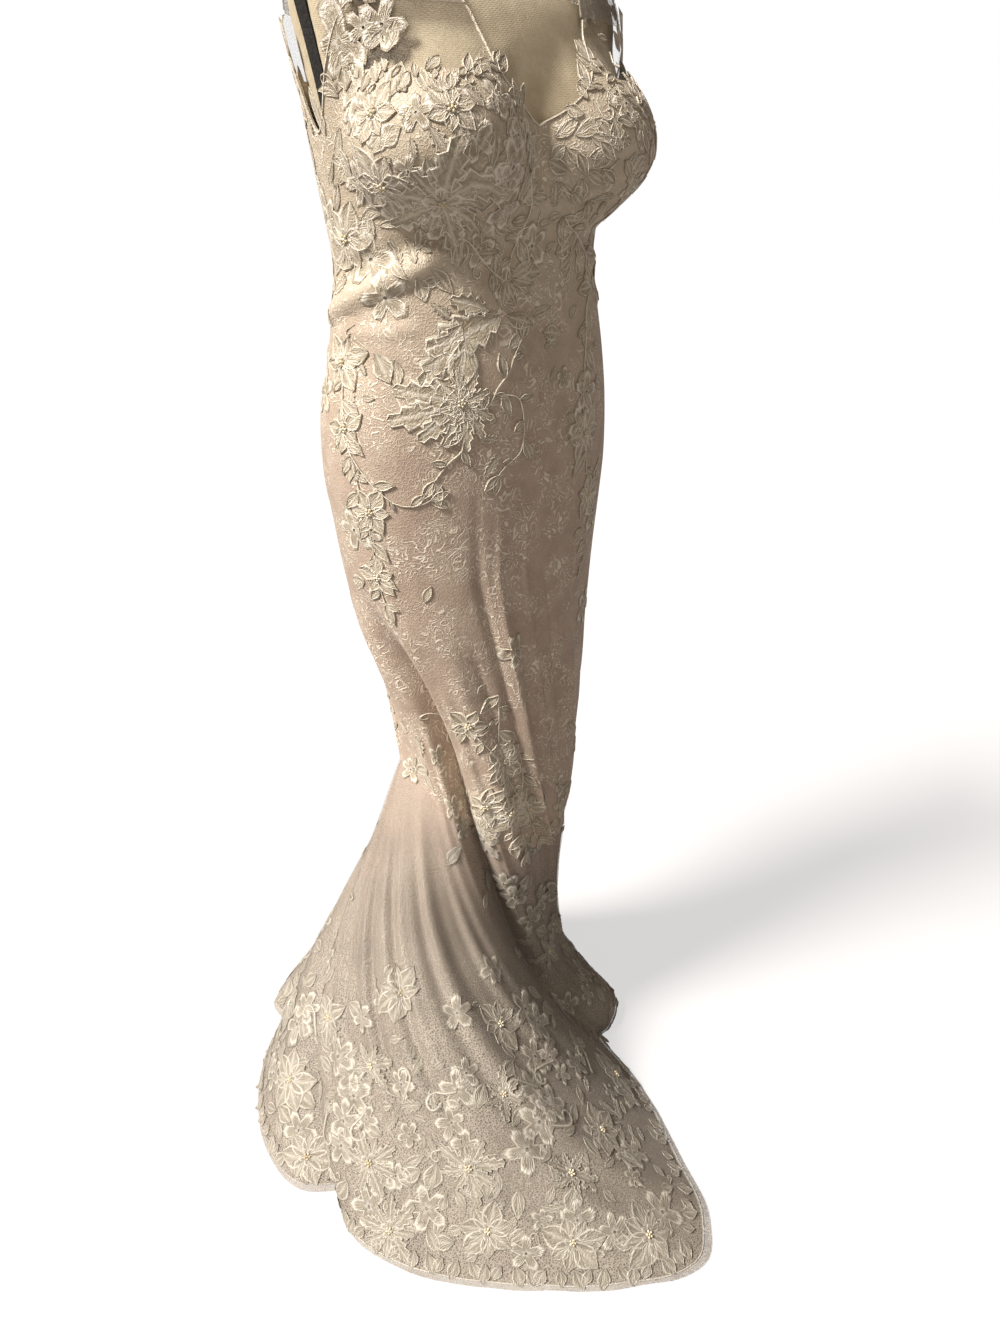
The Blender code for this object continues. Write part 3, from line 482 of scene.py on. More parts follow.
crepe = new_material("blush_crepe", Roughness=0.7, Sheen_Weight=0.05)
place = add_node(crepe, "TexCoord").outputs["Object"]
fine = add_node(crepe, "TexNoise", {"Vector": place}, Scale=420, Detail=4, Roughness=0.7).outputs["Fac"]
broad = add_node(crepe, "TexNoise", {"Vector": place}, Scale=9, Detail=4).outputs["Fac"]
measures = add_node(crepe, "Attribute", attribute_name="garment").outputs["Vector"]
level = add_node(crepe, "SeparateXYZ", {"Vector": measures}).outputs["Y"]
# Painted shade: the crepe turns darker and greyer from the seam down to the hem, unevenly, for the less lit train.
uneven = add_node(crepe, "Math", {0: level, 1: broad}, operation="ADD").outputs["Value"]
down = add_node(crepe, "MapRange", {"Value": uneven}, From_Min=2.45, From_Max=3.1).outputs["Result"]
blush = add_node(crepe, "ValToRGB", {"Fac": down}, [(0.0, "#B8A393"), (1.0, "#91877C")]).outputs["Color"]
grain = add_node(crepe, "Bump", {"Height": fine}, Strength=0.2, Distance=0.0005).outputs["Normal"]
finish_material(crepe, Base_Color=blush, Normal=grain)

def net_material(name, least):
    """Net with 3 mm holes, coarser than the real 1 mm, whose threads let what is under it show. It covers
    least above the flounce and thickens down from its seam."""
    net_look = new_material(name, Roughness=0.6, Sheen_Weight=0.1)
    place = add_node(net_look, "TexCoord").outputs["Object"]
    cells = add_node(net_look, "TexVoronoi", {"Vector": place}, feature="DISTANCE_TO_EDGE", Scale=330)
    threads = add_node(net_look, "MapRange", {"Value": cells.outputs["Distance"]}, From_Min=0.03, From_Max=0.16,
                       To_Min=0.85, To_Max=0.15).outputs["Result"]
    measures = add_node(net_look, "Attribute", attribute_name="garment").outputs["Vector"]
    level = add_node(net_look, "SeparateXYZ", {"Vector": measures}).outputs["Y"]
    thick = add_node(net_look, "MapRange", {"Value": level}, From_Min=2.0, From_Max=2.5, To_Min=least, To_Max=1.0)
    cover = add_node(net_look, "Math", {0: threads, 1: thick.outputs["Result"]}, operation="MULTIPLY")
    cloudy = add_node(net_look, "TexNoise", {"Vector": place}, Scale=14, Detail=4).outputs["Fac"]
    tones = add_node(net_look, "ValToRGB", {"Fac": cloudy}, [(0.35, "#A1978A"), (0.68, "#B7AD9F")])
    return finish_material(net_look, Base_Color=tones.outputs["Color"], Alpha=cover.outputs["Value"])


tulle = net_material("sheer_tulle", 0.20)
underlayer = shell("flounce_underlayer", gown, gown_angles(), np.linspace(2, 2.985, 66), -0.0012, 0.0010, crepe)
flounce = shell("flounce_tulle", gown, gown_angles(), np.linspace(2, 3, 84), 0.0012, 0.0006, tulle)
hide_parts("flounce_front", "flounce_side_right", "flounce_side_left", "flounce_back_right",
            "flounce_back_left")


# Straps: sheer tulle over the shoulders, sewn to the bodice at the front and back.

def strap(side):
    """The surface of a strap: across from its neck edge to its arm edge, along from front to back."""
    def edge(front, back, crest, along):
        away = np.abs(2 * along - 1)
        foot = np.where(along < 0.5, front, back)
        return 90.0 + (foot - 90.0) * away, crest + (SHOULDER_SEAM + 0.0008 - crest) * away ** 2

    def surface(across, along):
        share = across / 100.0
        neck_angle, neck_height = edge(36.0, 144.0, 1.470, along)
        arm_angle, arm_height = edge(70.0, 110.0, 1.436, along)
        angle = side * (neck_angle + (arm_angle - neck_angle) * share)
        height = neck_height + (arm_height - neck_height) * share
        return around(angle, body_radius(angle, height), height)
    return surface


strap_net = net_material("doubled_tulle", 0.80)
for name, side, first, last in (("strap_left", 1, 0.0, 100.0), ("strap_right", -1, 100.0, 0.0)):
    sheer = shell("sheer_" + name, strap(side), np.linspace(first, last, 13), np.linspace(1.0, 0.0, 57), 0.0006,
                  0.0012, strap_net, closed=False)
    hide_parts(name)


def yoke(angle, share):
    """The sheer cloth between the opaque cups or back and the top edge."""
    return gown(angle, cup_level(angle) * share)


for name, first, last in (("yoke_front_left", 29, 79), ("yoke_front_right", -79, -29), ("yoke_back_left", 101, 158),
                          ("yoke_back_right", -158, -101)):
    sheer = shell("sheer_" + name, yoke, np.arange(first, last + 1, 2.0), np.linspace(0, 1, 9), 0.0006, 0.0012,
                  tulle, closed=False)


# Lace applique: satin-stitch flowers, serrated sprays, leaves on corded stems and scrolls, each with a
# raised cord round its edge, sewn flat to the gown. Pearl beads sit in the flowers' middles.

CORDED_EDGE = [(-1.0, 0.10), (-0.80, 1.0), (-0.58, 0.35), (0.0, 0.80), (0.58, 0.35), (0.80, 1.0), (1.0, 0.10)]


def frond(half_widths, swept_teeth=0.0):
    """A leaf of unit length along x, from its half widths at even steps. Relief is 0 to 1."""
    count = len(half_widths)
    points = []
    for k, width in enumerate(half_widths):
        forward = swept_teeth * (k % 2)
        points += [(k / (count - 1) + forward * abs(side) * (k < count - 1), side * width, relief)
                   for side, relief in CORDED_EDGE]
    return points, grid_faces(count, len(CORDED_EDGE), False)


def blossom(petals):
    """A flower of unit radius with pointed petals, as rings from its middle out."""
    points = []
    for share, relief in ((0.10, 0.9), (0.50, 0.35), (0.84, 1.0), (1.0, 0.10)):
        for k in range(petals * 4):
            reach = (1.0, 0.84, 0.40, 0.84)[k % 4]
            turned = 2 * math.pi * k / (petals * 4)
            radius = share * (reach if share > 0.3 else 0.7)
            points.append((radius * math.cos(turned), radius * math.sin(turned), relief))
    return points, grid_faces(4, petals * 4, True)


def scroll():
    """A corded hook: a stalk along x that curls back on itself."""
    points = []
    for k in range(13):
        turned = max(k - 4, 0) / 8 * 1.45 * math.pi
        curl = 0.24 - 0.14 * max(k - 4, 0) / 8
        middle = (0.15 * k, 0.0) if k < 5 else (0.60 + curl * math.sin(turned), 0.24 - curl * math.cos(turned))
        across = (-math.sin(turned), math.cos(turned))
        width = 0.045 * (1 if k < 11 else 1.5)
        points += [(middle[0] + across[0] * width * side, middle[1] + across[1] * width * side, relief)
                   for side, relief in ((-1, 0.0), (0, 1.2), (1, 0.0))]
    return points, grid_faces(13, 3, False)


def pearl():
    """Half a bead, of unit radius."""
    points = [(math.cos(2 * math.pi * k / 7) * r, math.sin(2 * math.pi * k / 7) * r, relief)
              for r, relief in ((0.2, 1.7), (0.8, 1.3), (1.0, 0.3)) for k in range(7)]
    return points, grid_faces(3, 7, True)


LEAF, SPRAY, PETAL, FLOWER, SCROLL, BEAD = range(6)
motifs = bpy.data.collections.new("motifs")
for number, (points, faces) in enumerate([
    frond([0.02, 0.15, 0.24, 0.26, 0.21, 0.11, 0.01]),
    frond([0.03, 0.17, 0.10, 0.25, 0.15, 0.26, 0.15, 0.21, 0.10, 0.11, 0.01], 0.06),
    frond([0.07, 0.20, 0.33, 0.39, 0.33, 0.18, 0.01]),
    blossom(5),
    scroll(),
    pearl(),
]):
    mesh = bpy.data.meshes.new(f"motif_{number}")
    mesh.from_pydata(points, [], faces)
    motifs.objects.link(bpy.data.objects.new(f"motif_{number}", mesh))


def motif_nodes(spread):
    """Geometry Nodes that set a motif at each point, or at points spread over the cloth, flat for wrapping."""
    tree = bpy.data.node_groups.new("spread_motifs" if spread else "placed_motifs", "GeometryNodeTree")
    for label, kind in (("Cloth", "Geometry"), ("Motifs", "Collection"), ("Thread", "Material"), ("Spacing", "Float"),
                        ("Seed", "Int")):
        tree.interface.new_socket(label, in_out="INPUT", socket_type="NodeSocket" + kind)
    tree.interface.new_socket("Lace", in_out="OUTPUT", socket_type="NodeSocketGeometry")
    given = add_node(tree, "NodeGroupInput").outputs

    def kept(name, data_type="FLOAT"):
        return add_node(tree, "GeometryNodeInputNamedAttribute", data_type=data_type, Name=name).outputs["Attribute"]

    points = given["Cloth"]
    turn, size, kind = kept("turn"), kept("size"), kept("kind", "INT")
    if spread:
        points = add_node(tree, "GeometryNodeDistributePointsOnFaces", {
            "Mesh": points, "Distance Min": given["Spacing"], "Density Factor": kept("density"),
            "Seed": given["Seed"]}, distribute_method="POISSON", Density_Max=6000.0).outputs["Points"]
        number = add_node(tree, "GeometryNodeInputIndex").outputs[0]
        pick = {}
        for salt, (low, high) in enumerate(((0.0, 6.283), (0.6, 1.3), (0.0, 4.3))):
            made = add_node(tree, "FunctionNodeRandomValue", {"ID": number}, _2=low, _3=high, _8=salt + 5)
            pick[salt] = made.outputs[1]
        turn = pick[0]
        size = add_node(tree, "ShaderNodeMath", {0: size, 1: pick[1]}, operation="MULTIPLY").outputs[0]
        kind = add_node(tree, "ShaderNodeMath", {0: pick[2]}, operation="FLOOR").outputs[0]
    origin = add_node(tree, "ShaderNodeCombineXYZ").outputs["Vector"]
    points = add_node(tree, "GeometryNodeSetPosition", {"Geometry": points, "Position": origin}).outputs["Geometry"]
    shapes = add_node(tree, "GeometryNodeCollectionInfo", {"Collection": given["Motifs"]},
                      Separate_Children=True, Reset_Children=True).outputs["Instances"]
    spin = add_node(tree, "ShaderNodeCombineXYZ", {"Z": turn}).outputs["Vector"]
    scale = add_node(tree, "ShaderNodeCombineXYZ", {"X": size, "Y": size}, Z=1.0).outputs["Vector"]
    made = add_node(tree, "GeometryNodeInstanceOnPoints", {
        "Points": points, "Instance": shapes, "Instance Index": kind, "Rotation": spin, "Scale": scale},
        Pick_Instance=True).outputs["Instances"]
    made = add_node(tree, "GeometryNodeRealizeInstances", {"Geometry": made}).outputs["Geometry"]
    made = add_node(tree, "GeometryNodeSetMaterial", {"Geometry": made, "Material": given["Thread"]}).outputs["Geometry"]
    tree.links.new(made, add_node(tree, "NodeGroupOutput").inputs["Lace"])
    return tree


def wrap(surface, flat, garment, lift, raised):
    """Lays flat work on the cloth: each point keeps its own distance and bearing from its motif's root."""
    a0, b0 = garment[:, 0] * 100, garment[:, 1]
    along_a, along_b, normal = tangents(surface, a0, b0)
    right = along_a / np.linalg.norm(along_a, axis=1, keepdims=True)
    up = np.cross(normal, right)
    wanted = right * flat[:, :1] + up * flat[:, 1:2]
    aa, ab, bb = (along_a ** 2).sum(1), (along_a * along_b).sum(1), (along_b ** 2).sum(1)
    wa, wb = (wanted * along_a).sum(1), (wanted * along_b).sum(1)
    spread = np.maximum(aa * bb - ab * ab, 1e-12)
    move = np.stack([(bb * wa - ab * wb) / spread, (aa * wb - ab * wa) / spread], axis=1)
    root = surface(a0, b0)
    reached = np.linalg.norm(surface(a0 + move[:, 0], b0 + move[:, 1]) - root, axis=1)
    length = np.linalg.norm(wanted, axis=1)
    move *= np.where(reached > 1e-5, np.clip(length / np.maximum(reached, 1e-5), 0.6, 1.5), 1.0)[:, None]
    a, b = a0 + move[:, 0], b0 + move[:, 1]
    along_b, normal = tangents(surface, a, np.clip(b, 0.01, 2.99))[1:]
    beyond = b - np.clip(b, 0.0, 3.0)
    placed = surface(a, b) + along_b * beyond[:, None] + normal * (lift + raised * flat[:, 2:3])
    placed[:, 2] = np.maximum(placed[:, 2], lift + raised * flat[:, 2])
    return placed


def lay_lace(name, surface, host, tree, thread, spacing, seed, lift, raised, stems=()):
    """Makes the flat motifs from their points, wraps them on the cloth and adds their stems."""
    maker = host.modifiers.new("lace", "NODES")
    maker.node_group = tree
    sockets = {item.name: item.identifier for item in tree.interface.items_tree if item.in_out == "INPUT"}
    for label, value in (("Motifs", motifs), ("Thread", thread), ("Spacing", spacing), ("Seed", seed)):
        maker[sockets[label]] = value
    bpy.context.view_layer.update()
    made = bpy.data.meshes.new_from_object(host.evaluated_get(bpy.context.evaluated_depsgraph_get()))
    count = len(made.vertices)
    flat, garment = np.empty(count * 3), np.empty(count * 3)
    made.vertices.foreach_get("co", flat)
    made.attributes["garment"].data.foreach_get("vector", garment)
    points = [wrap(surface, flat.reshape(-1, 3), garment.reshape(-1, 3), lift, raised)]
    faces = [list(face.vertices) for face in made.polygons]
    for stem_points, stem_faces in stems:
        faces += [[count + corner for corner in face] for face in stem_faces]
        points.append(stem_points)
        count += len(stem_points)
    bpy.data.objects.remove(host)
    bpy.data.meshes.remove(made)
    relief = [flat.reshape(-1, 3)[:, 2]] + [np.tile([0.1, 1.0, 1.0, 0.1], len(p) // 4) for p, _ in stems]
    measures = np.zeros((count, 3))
    measures[:, 2] = np.concatenate(relief)
    measures[:len(flat) // 3, :2] = flat.reshape(-1, 3)[:, :2]
    return new_piece(name, np.concatenate(points), faces, thread, measures)


def host_points(rows):
    """Loose points that carry each motif's place, bearing, size and kind."""
    mesh = bpy.data.meshes.new("host")
    mesh.from_pydata([(0, 0, 0)] * len(rows), [], [])
    rows = np.array(rows, float)
    places = np.stack([rows[:, 0] / 100, rows[:, 1], rows[:, 1] * 0], axis=1)
    mesh.attributes.new("garment", "FLOAT_VECTOR", "POINT").data.foreach_set("vector", places.ravel())
    mesh.attributes.new("size", "FLOAT", "POINT").data.foreach_set("value", rows[:, 2])
    mesh.attributes.new("turn", "FLOAT", "POINT").data.foreach_set("value", np.radians(rows[:, 3]))
    mesh.attributes.new("kind", "INT", "POINT").data.foreach_set("value", rows[:, 4].astype(int))
    host = bpy.data.objects.new("host", mesh)
    bpy.context.scene.collection.objects.link(host)
    return host


def host_cloth(surface, across, down, density, size):
    """The cloth as a plain sheet that says how densely it is worked at each point, and how large."""
    a, b = np.meshgrid(across, down)
    mesh = bpy.data.meshes.new("host")
    mesh.from_pydata(surface(a, b).reshape(-1, 3).tolist(), [], grid_faces(*a.shape, False))
    places = np.stack([a / 100, b, 0 * a], axis=-1)
    mesh.attributes.new("garment", "FLOAT_VECTOR", "POINT").data.foreach_set("vector", places.ravel())
    mesh.attributes.new("density", "FLOAT", "POINT").data.foreach_set("value", density(a, b).ravel())
    mesh.attributes.new("size", "FLOAT", "POINT").data.foreach_set("value", size(a, b).ravel())
    host = bpy.data.objects.new("host", mesh)
    bpy.context.scene.collection.objects.link(host)
    return host


def along_path(surface, path, gap):
    """A smooth line on the cloth through a few (angle, level) points, at even steps of gap."""
    path = np.array(path, float)
    keys = np.arange(len(path), dtype=float)
    fine = np.linspace(0, len(path) - 1, 40 * (len(path) - 1) + 1)
    line = np.stack([curve(np.column_stack([keys, path]), column, fine) for column in (1, 2)], axis=1)
    steps = np.linalg.norm(np.diff(surface(line[:, 0], line[:, 1]), axis=0), axis=1)
    travelled = np.concatenate([[0], np.cumsum(steps)])
    wanted = np.arange(0, travelled[-1], gap)
    line = np.stack([np.interp(wanted, travelled, line[:, k]) for k in (0, 1)], axis=1)
    ahead = np.gradient(surface(line[:, 0], line[:, 1]), axis=0)
    along_a, _, normal = tangents(surface, line[:, 0], line[:, 1])
    right = along_a / np.linalg.norm(along_a, axis=1, keepdims=True)
    up = np.cross(normal, right)
    return line, np.degrees(np.arctan2((ahead * up).sum(1), (ahead * right).sum(1))), ahead, normal


def stem(surface, path, width, lift, raised):
    """A corded stem along a path, as three strips."""
    line, _, ahead, normal = along_path(surface, path, 0.004)
    side = np.cross(normal, ahead)
    side /= np.linalg.norm(side, axis=1, keepdims=True)
    middle = surface(line[:, 0], line[:, 1])
    taper = np.linspace(1.0, 0.55, len(line))[:, None] * width / 2
    rows = [middle + side * taper * across + normal * (lift + raised * relief)
            for across, relief in ((1, 0.0), (0.45, 1.0), (-0.45, 1.0), (-1, 0.0))]
    points = np.stack(rows, axis=1).reshape(-1, 3)
    points[:, 2] = np.maximum(points[:, 2], lift)
    return points, grid_faces(len(line), 4, False, 0, False)


def sprig(surface, path, leaf, gap, kind=0, first=0.0):
    """Leaves on alternate sides of a stem, each a little different."""
    line, bearing, _, _ = along_path(surface, path, gap)
    rows = []
    for k in range(int(first > 0), len(line)):
        side = 1 if k % 2 else -1
        rows.append((*line[k], leaf * (0.85 + 0.3 * math.sin(2.4 * k + 1)), bearing[k] + side * (48 + 9 * math.sin(k)),
                     kind))
    rows.append((*line[-1], leaf, bearing[-1] + 4, kind))
    return rows


def beside(surface, angle, level, right, up):
    """The place that far to the right and up on the cloth, in metres."""
    a, b = np.array([float(angle)]), np.array([float(level)])
    along_a, along_b, normal = tangents(surface, a, b)
    across = along_a[0] / np.linalg.norm(along_a[0])
    wanted = across * right + np.cross(normal[0], across) * up
    move = np.linalg.lstsq(np.stack([along_a[0], along_b[0]], axis=1), wanted, rcond=None)[0]
    return angle + move[0], level + move[1]


BEADS = []


def flower(angle, level, petals, length, turn, kind=2, uneven=0.18):
    """A flower head of separate petals round a beaded middle."""
    rows = [(angle, level, length * (1 + uneven * math.sin(2.1 * k + turn)), turn + 360.0 * k / petals, kind)
            for k in range(petals)]
    rows.append((angle, level, length * 0.38, turn + 20, FLOWER))
    for k in range(6):
        spot = beside(gown, angle, level, 0.0034 * math.cos(k * 1.26) * (k < 5), 0.0034 * math.sin(k * 1.26) * (k < 5))
        BEADS.append((*spot, 0.0017, 0.0, BEAD))
    return rows


def thread_material(name, dark, light, cord_and_highlight_colour, roughness):
    """Satin stitches that fan out from a motif's root, about 2 mm apart halfway along, coarser than the real
    0.4 mm, with painted shade darkening the grooves between them, and a paler cord where it is raised that is
    partly the cord's own thread and partly a painted highlight."""
    thread = new_material(name, Roughness=roughness, Sheen_Weight=0.12, Sheen_Roughness=0.35)
    place = add_node(thread, "TexCoord").outputs["Object"]
    measures = add_node(thread, "Attribute", attribute_name="garment").outputs["Vector"]
    parts = add_node(thread, "SeparateXYZ", {"Vector": measures}).outputs
    bearing = add_node(thread, "Math", {0: parts["Y"], 1: parts["X"]}, operation="ARCTAN2").outputs["Value"]
    shades = add_node(thread, "TexNoise", {"Vector": place}, Scale=70, Detail=5, Roughness=0.65).outputs["Fac"]
    wandering = add_node(thread, "Math", {0: bearing, 1: shades}, operation="ADD").outputs["Value"]
    many = add_node(thread, "Math", {0: wandering}, operation="MULTIPLY", _1=34.0).outputs["Value"]
    stitches = add_node(thread, "Math", {0: many}, operation="SINE").outputs["Value"]
    filling = add_node(thread, "ValToRGB", {"Fac": shades}, [(0.35, dark), (0.65, light)]).outputs["Color"]
    # Painted shade: the grooves between the stitches are darkened towards #6E5D47.
    painted_groove_shade = add_node(thread, "MapRange", {"Value": stitches}, From_Min=-1.0, From_Max=0.2, To_Min=0.36,
                      To_Max=0.0).outputs["Result"]
    sewn = add_node(thread, "MixRGB", {"Color1": filling, "Fac": painted_groove_shade}, Color2=linear("#6E5D47")).outputs["Color"]
    # The raised cord is painted paler: partly the cord's own thread, partly a painted highlight on the relief.
    corded = add_node(thread, "MapRange", {"Value": parts["Z"]}, From_Min=0.60, From_Max=0.95).outputs["Result"]
    both = add_node(thread, "MixRGB", {"Color1": sewn, "Fac": corded}, Color2=linear(cord_and_highlight_colour)).outputs["Color"]
    ridged = add_node(thread, "Bump", {"Height": stitches}, Strength=0.5, Distance=0.0008).outputs["Normal"]
    return finish_material(thread, Base_Color=both, Normal=ridged)


ivory = thread_material("ivory_satin_stitch", "#A99B84", "#CCC1AB", "#F0E8D9", 0.45)
# A darker, greyer copy of the ivory thread for the flounce and train: painted shade for the less lit lower cloth.
pale = thread_material("train_shaded_satin_stitch", "#8E8678", "#A8A092", "#CBC4B7", 0.45)

placed, spread = motif_nodes(False), motif_nodes(True)

# The vines: points of each stem, then its leaves' length and how far apart they are
VINES = [
    ([(-39, 1.12), (-29, 1.13), (-22, 1.10), (-16, 1.08), (-13, 1.06), (-7, 1.03)], 0.024, 0.022),
    ([(-20, 1.11), (-10, 1.12), (-7, 1.16), (-9, 1.20), (-18, 1.22), (-27, 1.25)], 0.024, 0.024),
    ([(-39, 1.16), (-40, 1.19), (-46, 1.21), (-52, 1.24)], 0.026, 0.022),
    ([(-86, 1.17), (-80, 1.22), (-72, 1.26), (-64, 1.28), (-54, 1.27), (-48, 1.24)], 0.022, 0.024),
    ([(-88, 1.04), (-86, 1.12), (-82, 1.20), (-78, 1.30), (-77, 1.40), (-78, 1.49)], 0.028, 0.020),
    ([(52, 0.93), (44, 1.02), (38, 1.12), (40, 1.22), (46, 1.31)], 0.032, 0.024),
    ([(20, 0.55), (30, 0.68), (44, 0.80), (50, 0.92)], 0.026, 0.022),
    ([(-4, 0.25), (-2, 0.42), (-8, 0.58), (-14, 0.72), (-18, 0.90)], 0.028, 0.022),
    ([(-38, 0.72), (-28, 0.78), (-16, 0.83), (-9, 0.76)], 0.030, 0.024),
    ([(-37, 1.63), (-44, 1.72), (-50, 1.80), (-56, 1.90), (-62, 2.00)], 0.030, 0.018),
    ([(-66, 1.70), (-56, 1.74), (-48, 1.80), (-40, 1.90), (-34, 2.00)], 0.028, 0.019),
    ([(-30, 1.74), (-36, 1.83), (-48, 1.92), (-52, 2.02)], 0.026, 0.018),
]
lift = 0.0010
stems = [stem(gown, path, 0.0022, lift, 0.0013) for path, leaf, gap in VINES]
rows = []
for path, leaf, gap in VINES:
    rows += sprig(gown, path, leaf, gap)

# The hip flower: long serrated petals on its lower right, short ones above
for length, turn in ((0.082, 196), (0.074, 168), (0.060, 222), (0.050, 248), (0.052, 276), (0.046, 305),
                     (0.040, 335), (0.034, 20), (0.036, 60), (0.038, 100), (0.050, 138)):
    rows.append((-40, 1.12, length, turn, SPRAY))
rows += flower(-40, 1.12, 6, 0.024, 15)
# The leaf cluster over it
rows += [(-20, 1.00, 0.088, 196, SPRAY), (-40, 1.01, 0.074, 236, SPRAY), (-38, 1.03, 0.050, 262, PETAL),
         (-26, 0.97, 0.044, 168, SPRAY), (-17, 1.00, 0.036, 350, LEAF), (-73, 1.05, 0.034, 300, PETAL),
         (-76, 1.05, 0.030, 200, PETAL)]
rows += flower(-88, 1.07, 6, 0.030, 10) + flower(-84, 1.17, 5, 0.026, 40) + flower(-76, 1.30, 6, 0.028, 5)
rows += flower(-77, 1.42, 5, 0.026, 30) + flower(40, 1.20, 6, 0.034, 0) + flower(46, 1.31, 5, 0.028, 20)
rows += flower(-62, 1.70, 5, 0.026, 10) + flower(-46, 1.78, 6, 0.030, 30) + flower(-54, 1.90, 6, 0.034, 0)
rows += flower(-36, 1.90, 5, 0.030, 15) + flower(-72, 1.90, 5, 0.028, 25)
# The bust: a flower and a long-petalled lily on the right cup, sprays up to its edge, and the left cup
rows += flower(-62, 0.55, 7, 0.036, 10) + flower(-44, 0.60, 9, 0.062, 5, SPRAY, 0.3)
rows += flower(-62, 0.33, 6, 0.026, 0) + flower(-40, 0.32, 6, 0.024, 22)
rows += flower(54, 0.34, 6, 0.030, 0)
rows += flower(62, 0.62, 7, 0.036, 0) + flower(-86, 0.60, 6, 0.034, 20)
# Small scallops along the cups' upper edge, and a cluster of narrow petals on the left cup
for k in range(26):
    for side in (-1, 1):
        a = side * (14 + 2.4 * k)
        rise = 0.045 + 0.035 * math.sin(1.3 * k + side)
        rows.append((a, float(cup_level(a)) + rise, 0.016 + 0.005 * math.sin(2.3 * k), 90 + 40 * math.sin(1.7 * k),
                     PETAL if k % 3 else LEAF))
for k in range(20):
    rows.append((14 + 2.1 * k, 0.22 + 0.16 * (k % 3) + 0.03 * math.sin(k), 0.024, 285 + 16 * math.sin(2.2 * k), LEAF))
# A fine cord binds the neckline, armholes and back edge, and runs on up both edges of each strap
for first, last in ((-36, 36), (70, 110), (-110, -70), (144, 216)):
    edge = [(a, 0.006) for a in range(first, last + 1, 2)]
    stems.append(stem(gown, edge, 0.0026, 0.0006, 0.0014))
for side in (-1, 1):
    for across in (1.5, 98.5):
        stems.append(stem(strap(side), [(across, 0.05 * k) for k in range(21)], 0.0024, 0.0006, 0.0014))
lay_lace("lace_sprays", gown, host_points(rows), placed, ivory, 0.0, 1, lift, 0.0018, stems)
for name, side in (("left", 1), ("right", -1)):
    across, along = np.linspace(8, 96, 8), np.linspace(0.02, 0.98, 24)
    patch = host_cloth(strap(side), across, along, lambda a, b: 0.25 + 0.75 * smooth_step((a - 30) / 30),
                       lambda a, b: 0.024 + 0 * a)
    lay_lace("strap_lace_" + name, strap(side), patch, spread, ivory, 0.012, 7 + side, 0.0008, 0.0012)


def bodice_density(a, b):
    front = smooth_step((110 - np.abs(a)) / 30)
    below = smooth_step((b - cup_level(a) - 0.03) / 0.06)
    return np.clip((0.30 + 0.55 * front) * smooth_step((1.05 - b) / 0.45) + 0.12, 0, 1) * (0.15 + 0.55 * smooth_step((np.abs(a) - 52) / 14) * front + 0.85 * below).clip(0, 1)


def skirt_density(a, b):
    trails = sum(np.exp(-(turn_between(a, middle + drift * (b - 1)) / 9) ** 2)
                 for middle, drift in ((-88, 18), (48, 6), (98, 12), (150, -10), (-140, 20), (180, 0)))
    hip = 0.30 * smooth_step((1.26 - b) / 0.14) * smooth_step((a + 112) / 10) * smooth_step((70 - a) / 20)
    low = smooth_step((b - 1.72) / 0.25) * 0.6
    return np.clip(0.30 * trails * smooth_step((1.62 - b) / 0.2) + hip + low + 0.012, 0, 1)


def flounce_density(a, b):
    train = curve(FLARE, 4, a)
    grown = smooth_step((b - 2.30) / 0.45)
    return np.clip(train * (0.03 + 0.80 * grown) + (1 - train) * 0.36, 0, 1)


whole = np.arange(-180, 180.1, 3.0)
lay_lace("bodice_lace", gown, host_cloth(gown, whole, np.linspace(0.05, 1.0, 30), bodice_density,
                                         lambda a, b: 0.026 + 0 * a), spread, ivory, 0.013, 3, lift, 0.0009)
lay_lace("skirt_lace", gown, host_cloth(gown, whole, np.linspace(1.0, 2.0, 60), skirt_density,
                                        lambda a, b: 0.024 + 0 * a), spread, ivory, 0.015, 4, lift, 0.0010)
lay_lace("flounce_lace", gown, host_cloth(gown, np.arange(-180, 180.1, 2.0), np.linspace(2.0, 2.93, 50),
                                          flounce_density, lambda a, b: 0.027 + 0 * a), spread, pale, 0.019, 5,
         0.0015, 0.0006)

# Flower heads and scrolls on the train, and the scalloped edge of its hem
rows = []
for angle, level, petals, length, turn in (
        (-164, 2.80, 8, 0.038, 0), (-143, 2.74, 8, 0.040, 20), (-118, 2.54, 7, 0.034, 10), (-139, 2.45, 7, 0.036, 30),
        (-170, 2.60, 7, 0.036, 0), (172, 2.80, 7, 0.040, 15), (176, 2.93, 7, 0.036, 40), (-166, 2.92, 8, 0.040, 5),
        (-150, 2.87, 7, 0.036, 25), (-106, 2.88, 7, 0.034, 12), (-120, 2.80, 7, 0.034, 33), (-128, 2.76, 6, 0.030, 3),
        (-130, 2.90, 7, 0.038, 18), (-139, 2.88, 7, 0.036, 8), (-155, 2.62, 6, 0.032, 28), (-126, 2.62, 6, 0.030, 0),
        (160, 2.72, 7, 0.036, 20), (140, 2.82, 7, 0.036, 0), (120, 2.70, 6, 0.034, 30), (90, 2.60, 6, 0.034, 10),
        (50, 2.55, 6, 0.034, 0), (10, 2.50, 6, 0.032, 20), (-30, 2.45, 6, 0.032, 40), (-65, 2.50, 6, 0.032, 15)):
    rows += flower(angle, level, petals, length, turn, PETAL if petals % 2 else SPRAY)
